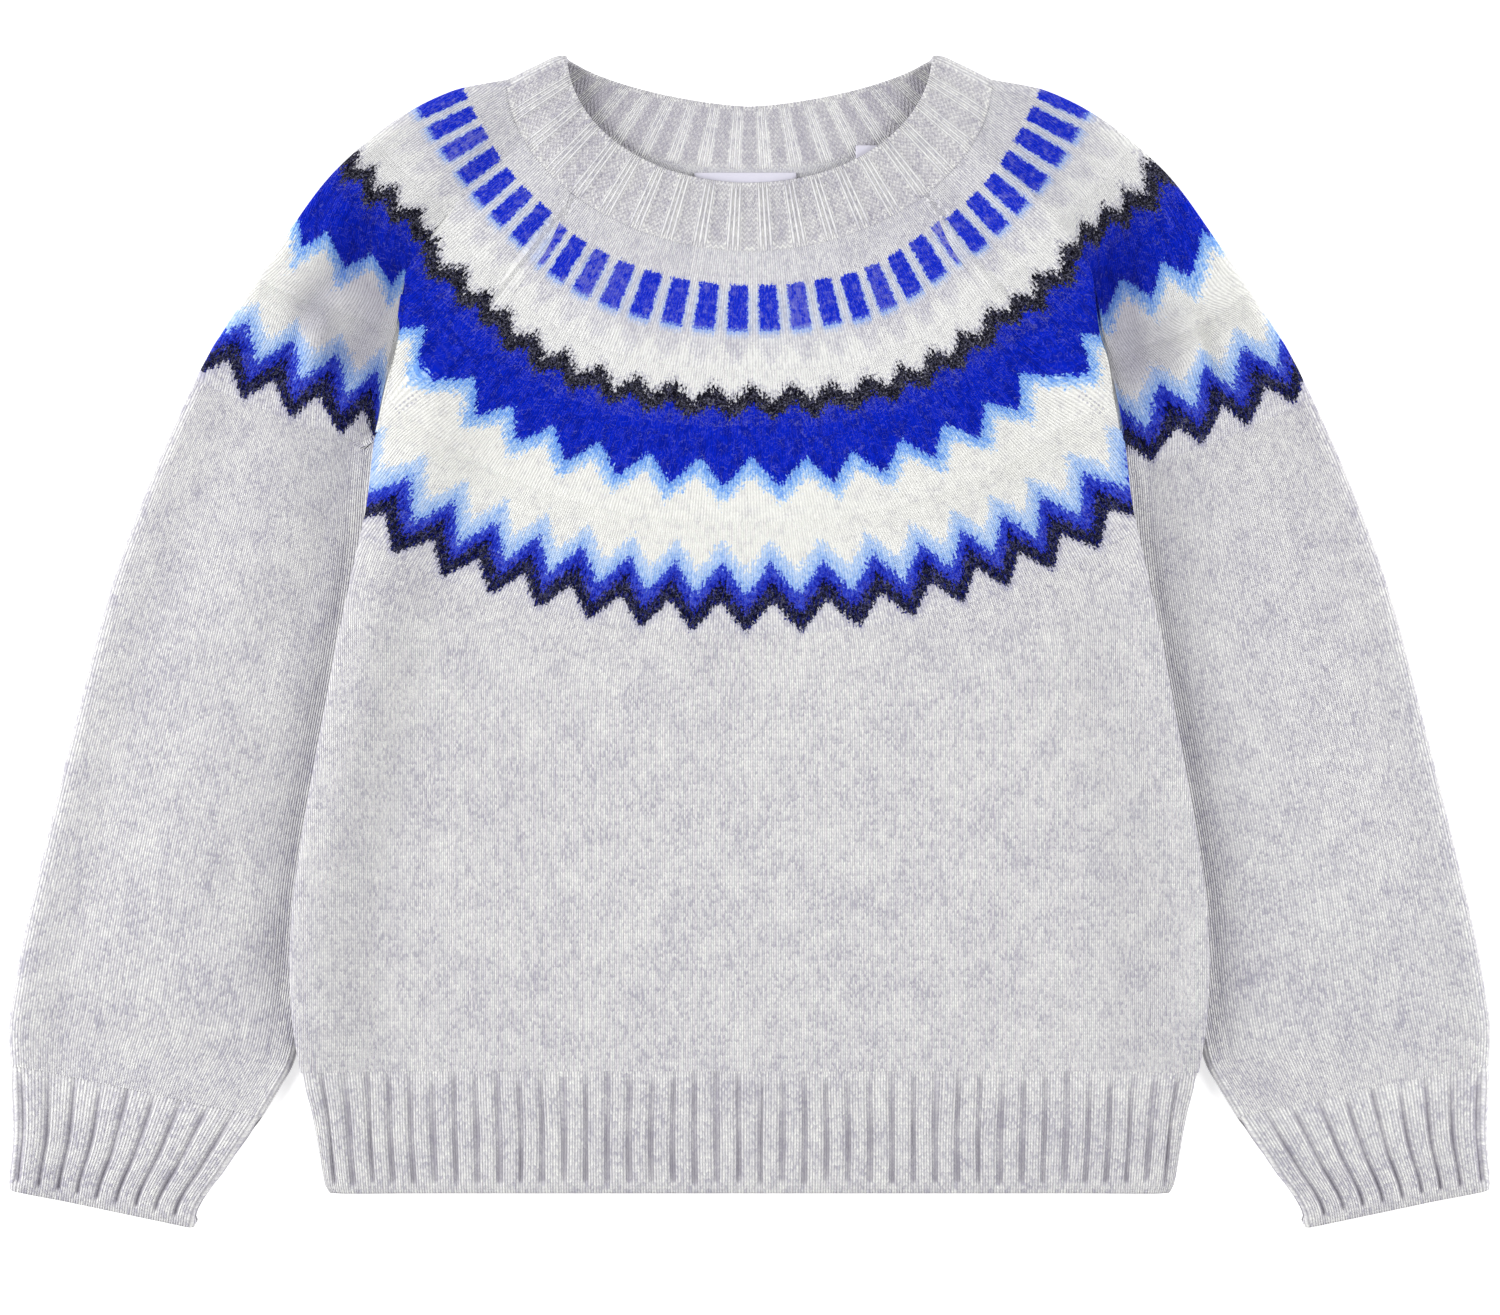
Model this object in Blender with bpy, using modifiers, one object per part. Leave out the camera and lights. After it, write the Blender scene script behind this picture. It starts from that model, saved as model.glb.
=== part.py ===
"""A nordic yoke sweater laid flat, front up, with its sleeves beside and under the body.

Metres, +Z up. X runs across the body, with the wearer's left at +X. +Y runs from the hem to
the neck, and the back and the undersides of the sleeves rest on z = 0. Every piece is a wall
of knitted cloth through the middle of its own sections.
"""

import math
from collections import namedtuple

import bpy
import numpy as np

# Cloth
WALL = 0.0025
RIB_WALL = 0.0030
SEAM_GAP = 0.0003
EDGE_GAP = 0.0005
RAGLAN_GAP = 0.0007
LAYER_GAP = 0.0006
SIDE_GAP = 0.0008
LABEL_WALL = 0.0006

# Heights of the middle of each layer where the cloth lies flat
LOW = WALL / 2
UPPER = WALL + LAYER_GAP + WALL / 2
RIB_LOW = RIB_WALL / 2
RIB_UPPER = RIB_WALL + LAYER_GAP + RIB_WALL / 2

# How far in from a rolled edge the cloth comes down to lie flat
FRONT_EASE = 0.028
BACK_SHELF = 0.008
BACK_EASE = 0.014
SLEEVE_EASE = 0.020
SLEEVE_ROLL = 0.0084
INNER_ROLL = 2 * WALL + LAYER_GAP
CUFF_ROLL = 0.0080
STEP_FOOT = 0.0015

# Neck
NECK_SIDE_Y = 0.2225
NECK_HALF = 0.0958
FRONT_DROP = 0.0667
FRONT_POWER = 1.9
BACK_DROP = 0.0351
BACK_POWER = 1.8
BAND_PEAK_Y = 0.2325
BAND_HALF = 0.0733
BAND_FRONT_DROP = 0.0507
BAND_FRONT_POWER = 2.0
BAND_BACK_DROP = 0.0197
BAND_BACK_POWER = 1.5
BAND_ROLL = 0.0096
BAND_REST = 0.0058
BAND_EASE = 0.030
BAND_ROWS = 4

# Body
SEAM_Y = -0.1718
HEM_Y = -0.2196
UNDERARM_Y = 0.0802
FOLD_TOP_Y = 0.1454
BODY_ROWS = 13
HEM_ROWS = 4
FLAT_COLUMNS = (0.0, 0.18, 0.36, 0.52)
RAGLAN_SHARES = (0.0, 0.28, 0.55, 0.76, 0.90, 1.0)
EDGE_TURNS = (60, 30, 14)
UNDERARM_EASE = 0.005

# Sleeves and cuffs
NECK_BOW_REACH = 0.060
ARM_STATIONS = 12
PLEAT_POINTS = 9
FLAT_POINTS = 5
ROLL_POINTS = 7
UNDER_POINTS = 9
INNER_REACH = 0.012

# Labels
LABEL_CENTRE_X = -0.0016
LABEL_HALF = 0.0202
LABEL_Y = (0.1725, 0.1866)
TAG_X = (0.0426, 0.0526)
TAG_Y = (0.1850, 0.1974)

Side = namedtuple("Side", "y half_width lift crest")
Seam = namedtuple("Seam", "front_x front_y back_x back_y")
Shoulder = namedtuple("Shoulder", "front_y outer_x outer_y")
Arm = namedtuple("Arm", "inner_x inner_y outer_x outer_y")

# The body's side edge: its half width, how far its underside is lifted by the sleeve under
# it, and the height of its top. Above the underarm it is the fold that runs up the yoke, and
# above the fold it only steers the sleeve's columns to the neck.
BODY_SIDE = (
    Side(-0.2196, 0.1680, 0.0000, 0.0072),
    Side(-0.2118, 0.1700, 0.0000, 0.0072),
    Side(-0.1878, 0.1750, 0.0008, 0.0082),
    Side(-0.1718, 0.1790, 0.0030, 0.0104),
    Side(-0.1600, 0.1808, 0.0056, 0.0126),
    Side(-0.1478, 0.1822, 0.0061, 0.0135),
    Side(-0.1278, 0.1830, 0.0061, 0.0135),
    Side(-0.1078, 0.1820, 0.0061, 0.0135),
    Side(-0.0878, 0.1794, 0.0061, 0.0135),
    Side(-0.0478, 0.1728, 0.0061, 0.0135),
    Side(-0.0078, 0.1655, 0.0061, 0.0135),
    Side(0.0322, 0.1570, 0.0061, 0.0135),
    Side(0.0540, 0.1524, 0.0040, 0.0135),
    Side(0.0802, 0.1494, 0.0000, 0.0135),
    Side(0.1070, 0.1444, 0.0000, 0.0100),
    Side(0.1222, 0.1414, 0.0000, 0.0078),
    Side(0.1454, 0.1382, 0.0000, 0.0056),
    Side(0.1650, 0.1250, 0.0000, 0.0056),
    Side(0.1790, 0.1110, 0.0000, 0.0056),
    Side(0.2000, 0.0860, 0.0000, 0.0056),
)

# The raglan seams, from the neck to the underarm.
RAGLAN = (
    Seam(0.0710, 0.1791, 0.0660, 0.1989),
    Seam(0.0806, 0.1562, 0.0780, 0.1800),
    Seam(0.0890, 0.1450, 0.0880, 0.1650),
    Seam(0.1074, 0.1206, 0.1060, 0.1395),
    Seam(0.1314, 0.0978, 0.1300, 0.1060),
    Seam(0.1494, 0.0802, 0.1494, 0.0802),
)

# Where the sleeve folds over at the shoulder, beside each height of the front raglan.
SHOULDER = (
    Shoulder(0.1791, 0.0975, 0.2235),
    Shoulder(0.1562, 0.1154, 0.2202),
    Shoulder(0.1450, 0.1338, 0.2122),
    Shoulder(0.1206, 0.1646, 0.1882),
    Shoulder(0.0978, 0.1886, 0.1562),
    Shoulder(0.0802, 0.2148, 0.1162),
)

# The sleeve below the underarm, from its inner fold to its outer one.
ARM = (
    Arm(0.1511, 0.0735, 0.2188, 0.1085),
    Arm(0.1520, 0.0580, 0.2290, 0.0870),
    Arm(0.1500, 0.0400, 0.2390, 0.0640),
    Arm(0.1550, 0.0000, 0.2550, 0.0204),
    Arm(0.1640, -0.0500, 0.2684, -0.0300),
    Arm(0.1725, -0.1000, 0.2810, -0.0810),
    Arm(0.1765, -0.1400, 0.2898, -0.1190),
    Arm(0.1812, -0.1666, 0.2936, -0.1400),
    Arm(0.1882, -0.1798, 0.2956, -0.1560),
    Arm(0.1942, -0.1898, 0.2950, -0.1686),
)

# The cuff, from its seam to its edge.
CUFF = (
    Arm(0.1946, -0.1906, 0.2950, -0.1694),
    Arm(0.2090, -0.2110, 0.2934, -0.1950),
    Arm(0.2206, -0.2290, 0.2946, -0.2130),
    Arm(0.2215, -0.2338, 0.2954, -0.2182),
)


# ---------------------------------------------------------------- tables and lines


def read(table, key, column, place):
    """One column of a table, read smoothly and without overshoot at a place along its key."""
    rows = sorted(table, key=lambda row: getattr(row, key))
    keys = np.array([getattr(row, key) for row in rows])
    values = np.array([getattr(row, column) for row in rows])
    steps = np.diff(values) / np.diff(keys)
    before = steps[:-1]
    after = steps[1:]
    agree = before * after > 0
    total = np.where(agree, before + after, 1.0)
    inner = np.where(agree, 2 * before * after / total, 0.0)
    slopes = np.concatenate([steps[:1], inner, steps[-1:]])
    place = min(max(place, keys[0]), keys[-1])
    at = min(max(int(np.searchsorted(keys, place)) - 1, 0), len(keys) - 2)
    span = keys[at + 1] - keys[at]
    t = (place - keys[at]) / span
    start = (1 + 2 * t) * (1 - t) ** 2 * values[at] + t * (1 - t) ** 2 * span * slopes[at]
    end = t * t * (3 - 2 * t) * values[at + 1] + t * t * (t - 1) * span * slopes[at + 1]
    return float(start + end)


def ease(share):
    """1 at a share of 0, falling smoothly to 0 at a share of 1."""
    share = min(max(share, 0.0), 1.0)
    return 1 - share * share * (3 - 2 * share)


def spread(points, count):
    """The same line as count points, evenly spaced along it."""
    points = np.array(points)
    steps = np.linalg.norm(np.diff(points, axis=0), axis=1)
    run = np.concatenate([[0], np.cumsum(steps)])
    places = np.linspace(0, run[-1], count)
    return [tuple(np.interp(place, run, points[:, axis]) for axis in range(3)) for place in places]


def towards(start, end, distance):
    """The point of the plan that lies a distance from start on the way to end."""
    length = math.dist(start, end)
    return tuple(a + (b - a) * distance / length for a, b in zip(start, end))


# ---------------------------------------------------------------- the body's surface


def side(column, y):
    """A column of the body's side edge at a height up the body."""
    return read(BODY_SIDE, "y", column, y)


def panel_half(y):
    """Half width that a panel's columns are laid out on, which stays the same above the fold."""
    return side("half_width", min(y, FOLD_TOP_Y))


def edge_radius(y, wall):
    """Radius of the middle of the cloth where it rolls over the body's side edge."""
    return (side("crest", y) - side("lift", y) - wall) / 2


def edge_height(y):
    """Height of the side seam, half way up the rolled edge."""
    return (side("crest", y) + side("lift", y)) / 2


def roll(inset, radius):
    """How far a rolled edge has risen from its middle, at a distance in from its outside."""
    return math.sqrt(max(radius * radius - max(radius - inset, 0.0) ** 2, 0.0))


def front_height(inset, y, wall, flat):
    """Height of the front layer at a distance in from the side edge."""
    radius = edge_radius(y, wall)
    if inset < radius:
        return edge_height(y) + roll(inset, radius)
    top = side("crest", y) - wall / 2
    return flat + (top - flat) * ease((inset - radius) / FRONT_EASE)


def back_height(inset, y, wall):
    """Height of the back layer at a distance in from the side edge."""
    radius = edge_radius(y, wall)
    if inset < radius:
        return edge_height(y) - roll(inset, radius)
    return wall / 2 + side("lift", y) * ease((inset - radius - BACK_SHELF) / BACK_EASE)


def column_x(column, y, wall):
    """Where a column lies: at a share of the flat width, a turn of the edge, or the side seam."""
    kind, value = column
    middle = panel_half(y) - wall / 2
    radius = edge_radius(y, wall)
    if kind == "flat":
        return value * (middle - radius)
    turn = math.radians(value) if kind == "turn" else SIDE_GAP / 2 / radius
    return middle - radius * (1 - math.cos(turn))


def raglan_x(y, which):
    """Half width between the raglan seams of the front or the back at a height."""
    return read(RAGLAN, which + "_y", which + "_x", y)


def neck_curve(turn, half, side_y, drop, power):
    """A point of a neck line: a turn of 0 at the middle and 90 at the side fold."""
    angle = math.radians(turn)
    x = half * math.sin(angle) ** (2 / power)
    return x, side_y - drop * max(math.cos(angle), 0.0) ** (2 / power)


def neck_turn(x, half, power):
    """The turn of the neck line at a distance from the middle."""
    return math.degrees(math.asin((x / half) ** (power / 2)))


def seam_curve(turn, which):
    """A point of the neck seam of the front or the back."""
    if which == "front":
        return neck_curve(turn, NECK_HALF, NECK_SIDE_Y, FRONT_DROP, FRONT_POWER)
    return neck_curve(turn, NECK_HALF, NECK_SIDE_Y, BACK_DROP, BACK_POWER)


def raglan_top(column, which):
    """Height at which a column of a panel meets the raglan seam."""
    low = UNDERARM_Y
    high = getattr(RAGLAN[0], which + "_y")
    for _ in range(40):
        middle = (low + high) / 2
        if column_x(column, middle, WALL) < raglan_x(middle, which):
            low = middle
        else:
            high = middle
    return low


def neck_corner(which):
    """The flat column that ends where the raglan seam meets the neck."""
    x = getattr(RAGLAN[0], which + "_x")
    y = getattr(RAGLAN[0], which + "_y")
    return x / column_x(("flat", 1.0), y, WALL)


def panel_columns(which):
    """Columns of half a body panel, from the middle to the side seam."""
    corner = neck_corner(which)
    inner = [("flat", share * corner / FLAT_COLUMNS[-1]) for share in FLAT_COLUMNS[:-1]]
    return inner + raglan_columns(which)


def raglan_columns(which):
    """The columns that end on the raglan seam, from the neck to the underarm."""
    corner = neck_corner(which)
    flats = [("flat", corner + (1 - corner) * share) for share in RAGLAN_SHARES]
    return flats + [("turn", angle) for angle in EDGE_TURNS] + [("seam", 0)]


def panel_top(column, which):
    """Height at which a column of a panel ends, at the neck or at the raglan seam."""
    kind, value = column
    if kind == "flat" and value < neck_corner(which) - 1e-9:
        x = column_x(column, getattr(RAGLAN[0], which + "_y"), WALL)
        power = FRONT_POWER if which == "front" else BACK_POWER
        return seam_curve(neck_turn(x, NECK_HALF, power), which)[1]
    short = 0.0 if kind == "flat" else UNDERARM_EASE * math.cos(math.radians(value))
    return raglan_top(column, which) - short


def panel_grid(columns, bottom, tops, rows, wall, flat, which):
    """Rows of points of half a panel, from its foot to its top."""
    grid = []
    for row in range(rows):
        line = []
        for column, top in zip(columns, tops):
            y = bottom + (top - bottom) * row / (rows - 1)
            x = column_x(column, y, wall)
            inset = panel_half(y) - wall / 2 - x
            if which == "front":
                z = front_height(inset, y, wall, flat)
            else:
                z = back_height(inset, y, wall)
            line.append((x, y, z))
        grid.append(line)
    return grid


# ---------------------------------------------------------------- the sleeve's sections


def step_line(front, outer):
    """The cloth from the raglan seam, over the yoke's fold and down to the sleeve's upper layer."""
    length = math.dist(front, outer)
    low = 0.0
    high = length
    for _ in range(40):
        middle = (low + high) / 2
        x, y = towards(front, outer, middle)
        if x < side("half_width", y) - WALL / 2:
            low = middle
        else:
            high = middle
    reach = low
    fold_y = towards(front, outer, reach)[1]
    top = side("crest", fold_y) - WALL / 2
    radius = min(edge_radius(fold_y, WALL), (top - UPPER) / 2)
    foot = min(STEP_FOOT, (top - UPPER) / 2)
    line = []
    for share in np.linspace(0, 1, 12):
        distance = max(reach - radius, 0.0) * share
        inset = reach - distance
        x, y = towards(front, outer, distance)
        height = UPPER + (top - UPPER) * ease((inset - radius) / FRONT_EASE)
        line.append((x, y, height))
    for angle in np.linspace(90, 0, 7)[1:]:
        inset = radius * (1 - math.cos(math.radians(angle)))
        if inset < reach:
            x, y = towards(front, outer, reach - inset)
            line.append((x, y, top - radius + radius * math.sin(math.radians(angle))))
    for angle in np.linspace(0, 90, 5):
        x, y = towards(front, outer, reach + foot * (1 - math.cos(math.radians(angle))))
        line.append((x, y, UPPER + foot * (1 - math.sin(math.radians(angle)))))
    return line, reach + foot


def outer_roll(inner, outer, height, wall, low):
    """The sleeve's outer fold, from its upper layer round to its lower one."""
    radius = (height - wall) / 2
    line = []
    for angle in np.linspace(90, -90, ROLL_POINTS):
        inset = wall / 2 + radius * (1 - math.cos(math.radians(angle)))
        x, y = towards(outer, inner, inset)
        line.append((x, y, low + radius * (1 + math.sin(math.radians(angle)))))
    return line, wall / 2 + radius


def upper_line(inner, outer, start, end, top, flat):
    """The sleeve's upper layer between two distances from its inner point."""
    line = []
    for distance in np.linspace(start, end, 24):
        x, y = towards(inner, outer, distance)
        line.append((x, y, flat + (top - flat) * ease((end - distance) / SLEEVE_EASE)))
    return line


def join(*stretches):
    """Stretches of a section as one line, without their shared end points."""
    line = list(stretches[0])
    for stretch in stretches[1:]:
        line.extend(stretch[1:])
    return line


def yoke_section(front, outer, back):
    """A section of the sleeve above the underarm, from the front raglan to the back one."""
    step, foot = step_line(front, outer)
    fold, inset = outer_roll(front, outer, SLEEVE_ROLL, WALL, LOW)
    top = SLEEVE_ROLL - WALL / 2
    upper = upper_line(front, outer, foot, math.dist(front, outer) - inset, top, UPPER)
    under = [(*towards(outer, back, inset), LOW), (*back, LOW)]
    return join(
        spread(step, PLEAT_POINTS), spread(upper, FLAT_POINTS), fold, spread(under, UNDER_POINTS)
    )


def arm_section(inner, outer, wall, inner_roll, outer_height):
    """A section of the sleeve or cuff below the underarm, from its seam round to its seam."""
    radius = (inner_roll - wall) / 2
    low = wall / 2
    flat = low + 2 * radius
    seam = math.degrees(SEAM_GAP / 2 / radius)
    start = []
    for angle in np.linspace(seam, 90, 5):
        x, y = towards(inner, outer, wall / 2 + radius * (1 - math.cos(math.radians(angle))))
        start.append((x, y, low + radius * (1 + math.sin(math.radians(angle)))))
    start.append((*towards(inner, outer, INNER_REACH), flat))
    fold, inset = outer_roll(inner, outer, outer_height, wall, low)
    end = math.dist(inner, outer) - inset
    upper = upper_line(inner, outer, INNER_REACH, end, outer_height - wall / 2, flat)
    under = [(*towards(outer, inner, inset), low), (*towards(inner, outer, INNER_REACH), low)]
    close = [(x, y, 2 * (low + radius) - z) for x, y, z in reversed(start)]
    return join(
        spread(start, PLEAT_POINTS),
        spread(upper, FLAT_POINTS),
        fold,
        spread(join(under, close), UNDER_POINTS),
    )


def gapped(point, gap):
    """A raglan point moved out from its seam."""
    return point[0] + gap * math.sqrt(0.5), point[1] + gap * math.sqrt(0.5)


def neck_bowed(section, weight):
    """A section near the neck, bent from its straight chords to the neck seam's curve."""
    front = section[0][:2]
    back = section[-1][:2]
    fold = PLEAT_POINTS + FLAT_POINTS + ROLL_POINTS // 2 - 2
    bowed = []
    for k, (x, y, z) in enumerate(section):
        which = "front" if k <= fold else "back"
        end = front if k <= fold else back
        outer = section[fold][:2]
        share = math.dist(end, (x, y)) / math.dist(end, outer)
        power = FRONT_POWER if which == "front" else BACK_POWER
        begin = neck_turn(getattr(RAGLAN[0], which + "_x"), NECK_HALF, power)
        start = seam_curve(begin, which)
        stop = seam_curve(90, which)
        on_curve = seam_curve(begin + (90 - begin) * min(share, 1.0), which)
        bow = [on_curve[i] - start[i] - (stop[i] - start[i]) * min(share, 1.0) for i in range(2)]
        bowed.append((x + weight * bow[0], y + weight * bow[1], z))
    return bowed


def sleeve_grid():
    """Sections of the whole sleeve, from the neck seam to the cuff seam."""
    grid = []
    for front_column, back_column in zip(raglan_columns("front"), raglan_columns("back")):
        front_y = raglan_top(front_column, "front")
        back_y = raglan_top(back_column, "back")
        front = gapped((raglan_x(front_y, "front"), front_y), RAGLAN_GAP)
        back = gapped((raglan_x(back_y, "back"), back_y), RAGLAN_GAP)
        outer = tuple(read(SHOULDER, "front_y", axis, front_y) for axis in ("outer_x", "outer_y"))
        section = yoke_section(front, outer, back)
        away = (RAGLAN[0].front_y - front_y) / NECK_BOW_REACH
        grid.append(neck_bowed(section, ease(away)))
    for place in np.linspace(0, 1, ARM_STATIONS) ** 0.8:
        y = ARM[0].inner_y + (ARM[-1].inner_y - ARM[0].inner_y) * place
        inner = (read(ARM, "inner_y", "inner_x", y), y)
        outer = tuple(read(ARM, "inner_y", axis, y) for axis in ("outer_x", "outer_y"))
        grid.append(arm_section(inner, outer, WALL, INNER_ROLL, SLEEVE_ROLL))
    return grid


def cuff_grid():
    """Sections of the cuff, from its seam to its edge."""
    inner_roll = 2 * RIB_WALL + LAYER_GAP
    return [
        arm_section(
            (row.inner_x, row.inner_y), (row.outer_x, row.outer_y), RIB_WALL, inner_roll, CUFF_ROLL
        )
        for row in CUFF
    ]


# ---------------------------------------------------------------- the neckband


def band_line(row, turns, which):
    """Half a row of the neckband across its front or back, from the middle to the side fold."""
    share = row / (BAND_ROWS - 1)
    line = []
    for turn in turns:
        seam = seam_curve(turn, which)
        if which == "front":
            shape = (BAND_FRONT_DROP, BAND_FRONT_POWER)
        else:
            shape = (BAND_BACK_DROP, BAND_BACK_POWER)
        edge = neck_curve(turn, BAND_HALF, BAND_PEAK_Y, *shape)
        start = towards(seam, edge, SEAM_GAP)
        end = towards(edge, seam, 0.0)
        line.append(tuple(start[i] + (end[i] - start[i]) * share for i in range(2)))
    steps = [math.dist(a, b) for a, b in zip(line, line[1:])]
    insets = [sum(steps[k:]) for k in range(len(line))]
    radius = (BAND_ROLL - RIB_WALL) / 2
    middle = RIB_WALL / 2 + radius
    upper = BAND_REST - RIB_WALL / 2 + RIB_LOW
    points = []
    for (x, y), inset in zip(line, insets):
        if which == "back":
            rise = middle - roll(inset, radius) if inset < radius else RIB_LOW
            points.append((x, y, rise))
            continue
        top = BAND_ROLL - RIB_WALL / 2
        flat = upper + (top - upper) * ease((inset - radius) / BAND_EASE)
        points.append((x, y, middle + roll(inset, radius) if inset < radius else flat))
    return points


def neckband_grid():
    """Rows of half the neckband, each from the front's middle round the fold to the back's."""
    corner = {
        which: neck_turn(getattr(RAGLAN[0], which + "_x"), NECK_HALF, power)
        for which, power in (("front", FRONT_POWER), ("back", BACK_POWER))
    }
    shares = (0.14, 0.28, 0.42, 0.56, 0.70, 0.82, 0.90, 0.95, 0.98, 1.0)
    grid = []
    for row in range(BAND_ROWS):
        halves = []
        for which in ("front", "back"):
            inner = [corner[which] * k / (len(FLAT_COLUMNS) - 1) for k in range(len(FLAT_COLUMNS))]
            outer = [corner[which] + (90 - corner[which]) * share for share in shares]
            halves.append(band_line(row, inner + outer, which))
        grid.append(halves[0] + halves[1][-2::-1])
    return grid


# ---------------------------------------------------------------- making the objects


def material(name, color, roughness):
    """A cloth finish."""
    finish = bpy.data.materials.new(name)
    finish.use_nodes = True
    shader = finish.node_tree.nodes["Principled BSDF"]
    shader.inputs["Base Color"].default_value = (*color, 1.0)
    shader.inputs["Roughness"].default_value = roughness
    shader.inputs["Metallic"].default_value = 0.0
    return finish


def cloth(name, grid, wall, finish, collection, mirrored=False, flipped=False):
    """A panel of cloth: a sheet of faces through the grid's points, given its wall."""
    width = len(grid[0])
    points = [point for row in grid for point in row]
    faces = []
    for row in range(len(grid) - 1):
        for k in range(width - 1):
            at = row * width + k
            corners = (at, at + 1, at + width + 1, at + width)
            faces.append(corners[::-1] if flipped else corners)
    mesh = bpy.data.meshes.new(name)
    mesh.from_pydata(points, [], faces)
    mesh.shade_smooth()
    mesh.materials.append(finish)
    piece = bpy.data.objects.new(name, mesh)
    collection.objects.link(piece)
    if mirrored:
        mirror = piece.modifiers.new("other half", "MIRROR")
        mirror.merge_threshold = 0.0001
    solid = piece.modifiers.new("wall", "SOLIDIFY")
    solid.thickness = wall
    solid.offset = 0.0
    return piece


def to_side(grid, sign):
    """A grid for the wearer's left (+1) or right (-1)."""
    return [[(sign * x, y, z) for x, y, z in row] for row in grid]


def flat_label(name, x_range, y_range, height, finish, collection):
    """A flat woven label whose underside is at a height."""
    grid = [[(x, y, height + LABEL_WALL / 2) for x in x_range] for y in y_range]
    return cloth(name, grid, LABEL_WALL, finish, collection)


def build():
    """Builds every piece of the sweater."""
    for old in list(bpy.data.objects):
        bpy.data.objects.remove(old, do_unlink=True)
    collection = bpy.data.collections.new("nordic_yoke_sweater")
    bpy.context.scene.collection.children.link(collection)

    body_knit = material("body_knit", (0.62, 0.61, 0.65), 0.9)
    rib_knit = material("rib_knit", (0.60, 0.59, 0.63), 0.9)
    label_cloth = material("label_cloth", (0.80, 0.79, 0.84), 0.5)

    for which, flat, rib_flat in (("front", UPPER, RIB_UPPER), ("back", LOW, RIB_LOW)):
        columns = panel_columns(which)
        tops = [panel_top(column, which) for column in columns]
        grid = panel_grid(columns, SEAM_Y, tops, BODY_ROWS, WALL, flat, which)
        cloth(which, grid, WALL, body_knit, collection, mirrored=True, flipped=which == "back")
        welt_tops = [SEAM_Y - EDGE_GAP] * len(columns)
        grid = panel_grid(columns, HEM_Y, welt_tops, HEM_ROWS, RIB_WALL, rib_flat, which)
        cloth(
            "hem_" + which, grid, RIB_WALL, rib_knit, collection, mirrored=True, flipped=which == "back"
        )

    for name, sign in (("left", 1), ("right", -1)):
        sleeve = to_side(sleeve_grid(), sign)
        cloth("sleeve_" + name, sleeve, WALL, body_knit, collection, flipped=sign > 0)
        cuff = to_side(cuff_grid(), sign)
        cloth("cuff_" + name, cuff, RIB_WALL, rib_knit, collection, flipped=sign > 0)

    cloth("neckband", neckband_grid(), RIB_WALL, rib_knit, collection, mirrored=True)

    label_x = (LABEL_CENTRE_X - LABEL_HALF, LABEL_CENTRE_X + LABEL_HALF)
    flat_label("neck_label", label_x, LABEL_Y, WALL + SEAM_GAP, label_cloth, collection)
    flat_label("size_tag", TAG_X, TAG_Y, RIB_WALL + SEAM_GAP, label_cloth, collection)


build()
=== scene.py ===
"""A child's nordic yoke sweater laid flat on a pale surface, front up.

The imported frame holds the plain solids. Each of them is replaced here by a finely knitted
sheet of its own: the body, the sleeves with their pleats, the ribs and the labels. Metres,
+Z up, +X towards the wearer's left sleeve, +Y from the hem to the neck.
"""

import logging
import math
from dataclasses import dataclass, field
from enum import Enum
from typing import Callable, NamedTuple, Sequence

import bpy  # noqa: E402
import mathutils  # noqa: E402
import numpy as np  # noqa: E402
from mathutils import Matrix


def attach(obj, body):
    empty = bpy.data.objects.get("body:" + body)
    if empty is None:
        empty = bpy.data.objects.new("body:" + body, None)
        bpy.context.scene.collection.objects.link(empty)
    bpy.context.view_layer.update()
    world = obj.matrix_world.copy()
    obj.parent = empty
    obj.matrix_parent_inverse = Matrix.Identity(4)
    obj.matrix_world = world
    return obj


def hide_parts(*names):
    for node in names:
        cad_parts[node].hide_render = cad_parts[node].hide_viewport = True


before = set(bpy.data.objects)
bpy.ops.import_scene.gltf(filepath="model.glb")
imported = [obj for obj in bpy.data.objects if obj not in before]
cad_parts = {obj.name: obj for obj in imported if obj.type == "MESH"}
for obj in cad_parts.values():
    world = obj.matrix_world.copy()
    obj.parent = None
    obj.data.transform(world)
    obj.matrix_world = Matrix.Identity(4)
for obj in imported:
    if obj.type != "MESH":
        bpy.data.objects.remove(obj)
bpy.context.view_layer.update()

log = logging.getLogger("sweater")

Points = np.ndarray
Vector3 = tuple[float, float, float]

# ------------------------------------------------------------------ sizes the pieces share

WALL = 0.0025
LAYER_GAP = 0.0006
LOW = WALL / 2
UPPER = WALL + LAYER_GAP + WALL / 2
RIB_STAND = 0.0009  # how far a rib stands out of the plain knit
SEAM_Y = -0.1718
HEM_Y = -0.2196
UNDERARM_Y = 0.0802
FOLD_TOP_Y = 0.1454
YOKE_CENTRE = (0.0014, 0.2662)  # middle of the yoke's rings


class Layer(Enum):
    """The two layers of a garment that lies flat."""

    FRONT = "front"
    BACK = "back"


class Hand(Enum):
    """The wearer's side, and the sign of its x."""

    LEFT = 1
    RIGHT = -1


class SideRow(NamedTuple):
    """The body's side edge at one height."""

    y: float
    half_width: float
    lift: float
    crest: float


class SeamRow(NamedTuple):
    """A point of the front raglan seam and the same one of the back's."""

    front_x: float
    front_y: float
    back_x: float
    back_y: float


class ShoulderRow(NamedTuple):
    """Where the sleeve folds over, beside one height of the front raglan seam."""

    front_y: float
    outer_x: float
    outer_y: float


class ArmRow(NamedTuple):
    """The inner and outer folds of the sleeve or the cuff."""

    inner_x: float
    inner_y: float
    outer_x: float
    outer_y: float


class Crease(NamedTuple):
    """A soft trough (or ridge, where the depth is negative) from one point to another."""

    x0: float
    y0: float
    x1: float
    y1: float
    width: float
    depth: float


class Mark(NamedTuple):
    """Where a corner of the charted pattern lies on a sleeve: its place, ring and turn."""

    x: float
    y: float
    ring: float
    turn: float


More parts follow.
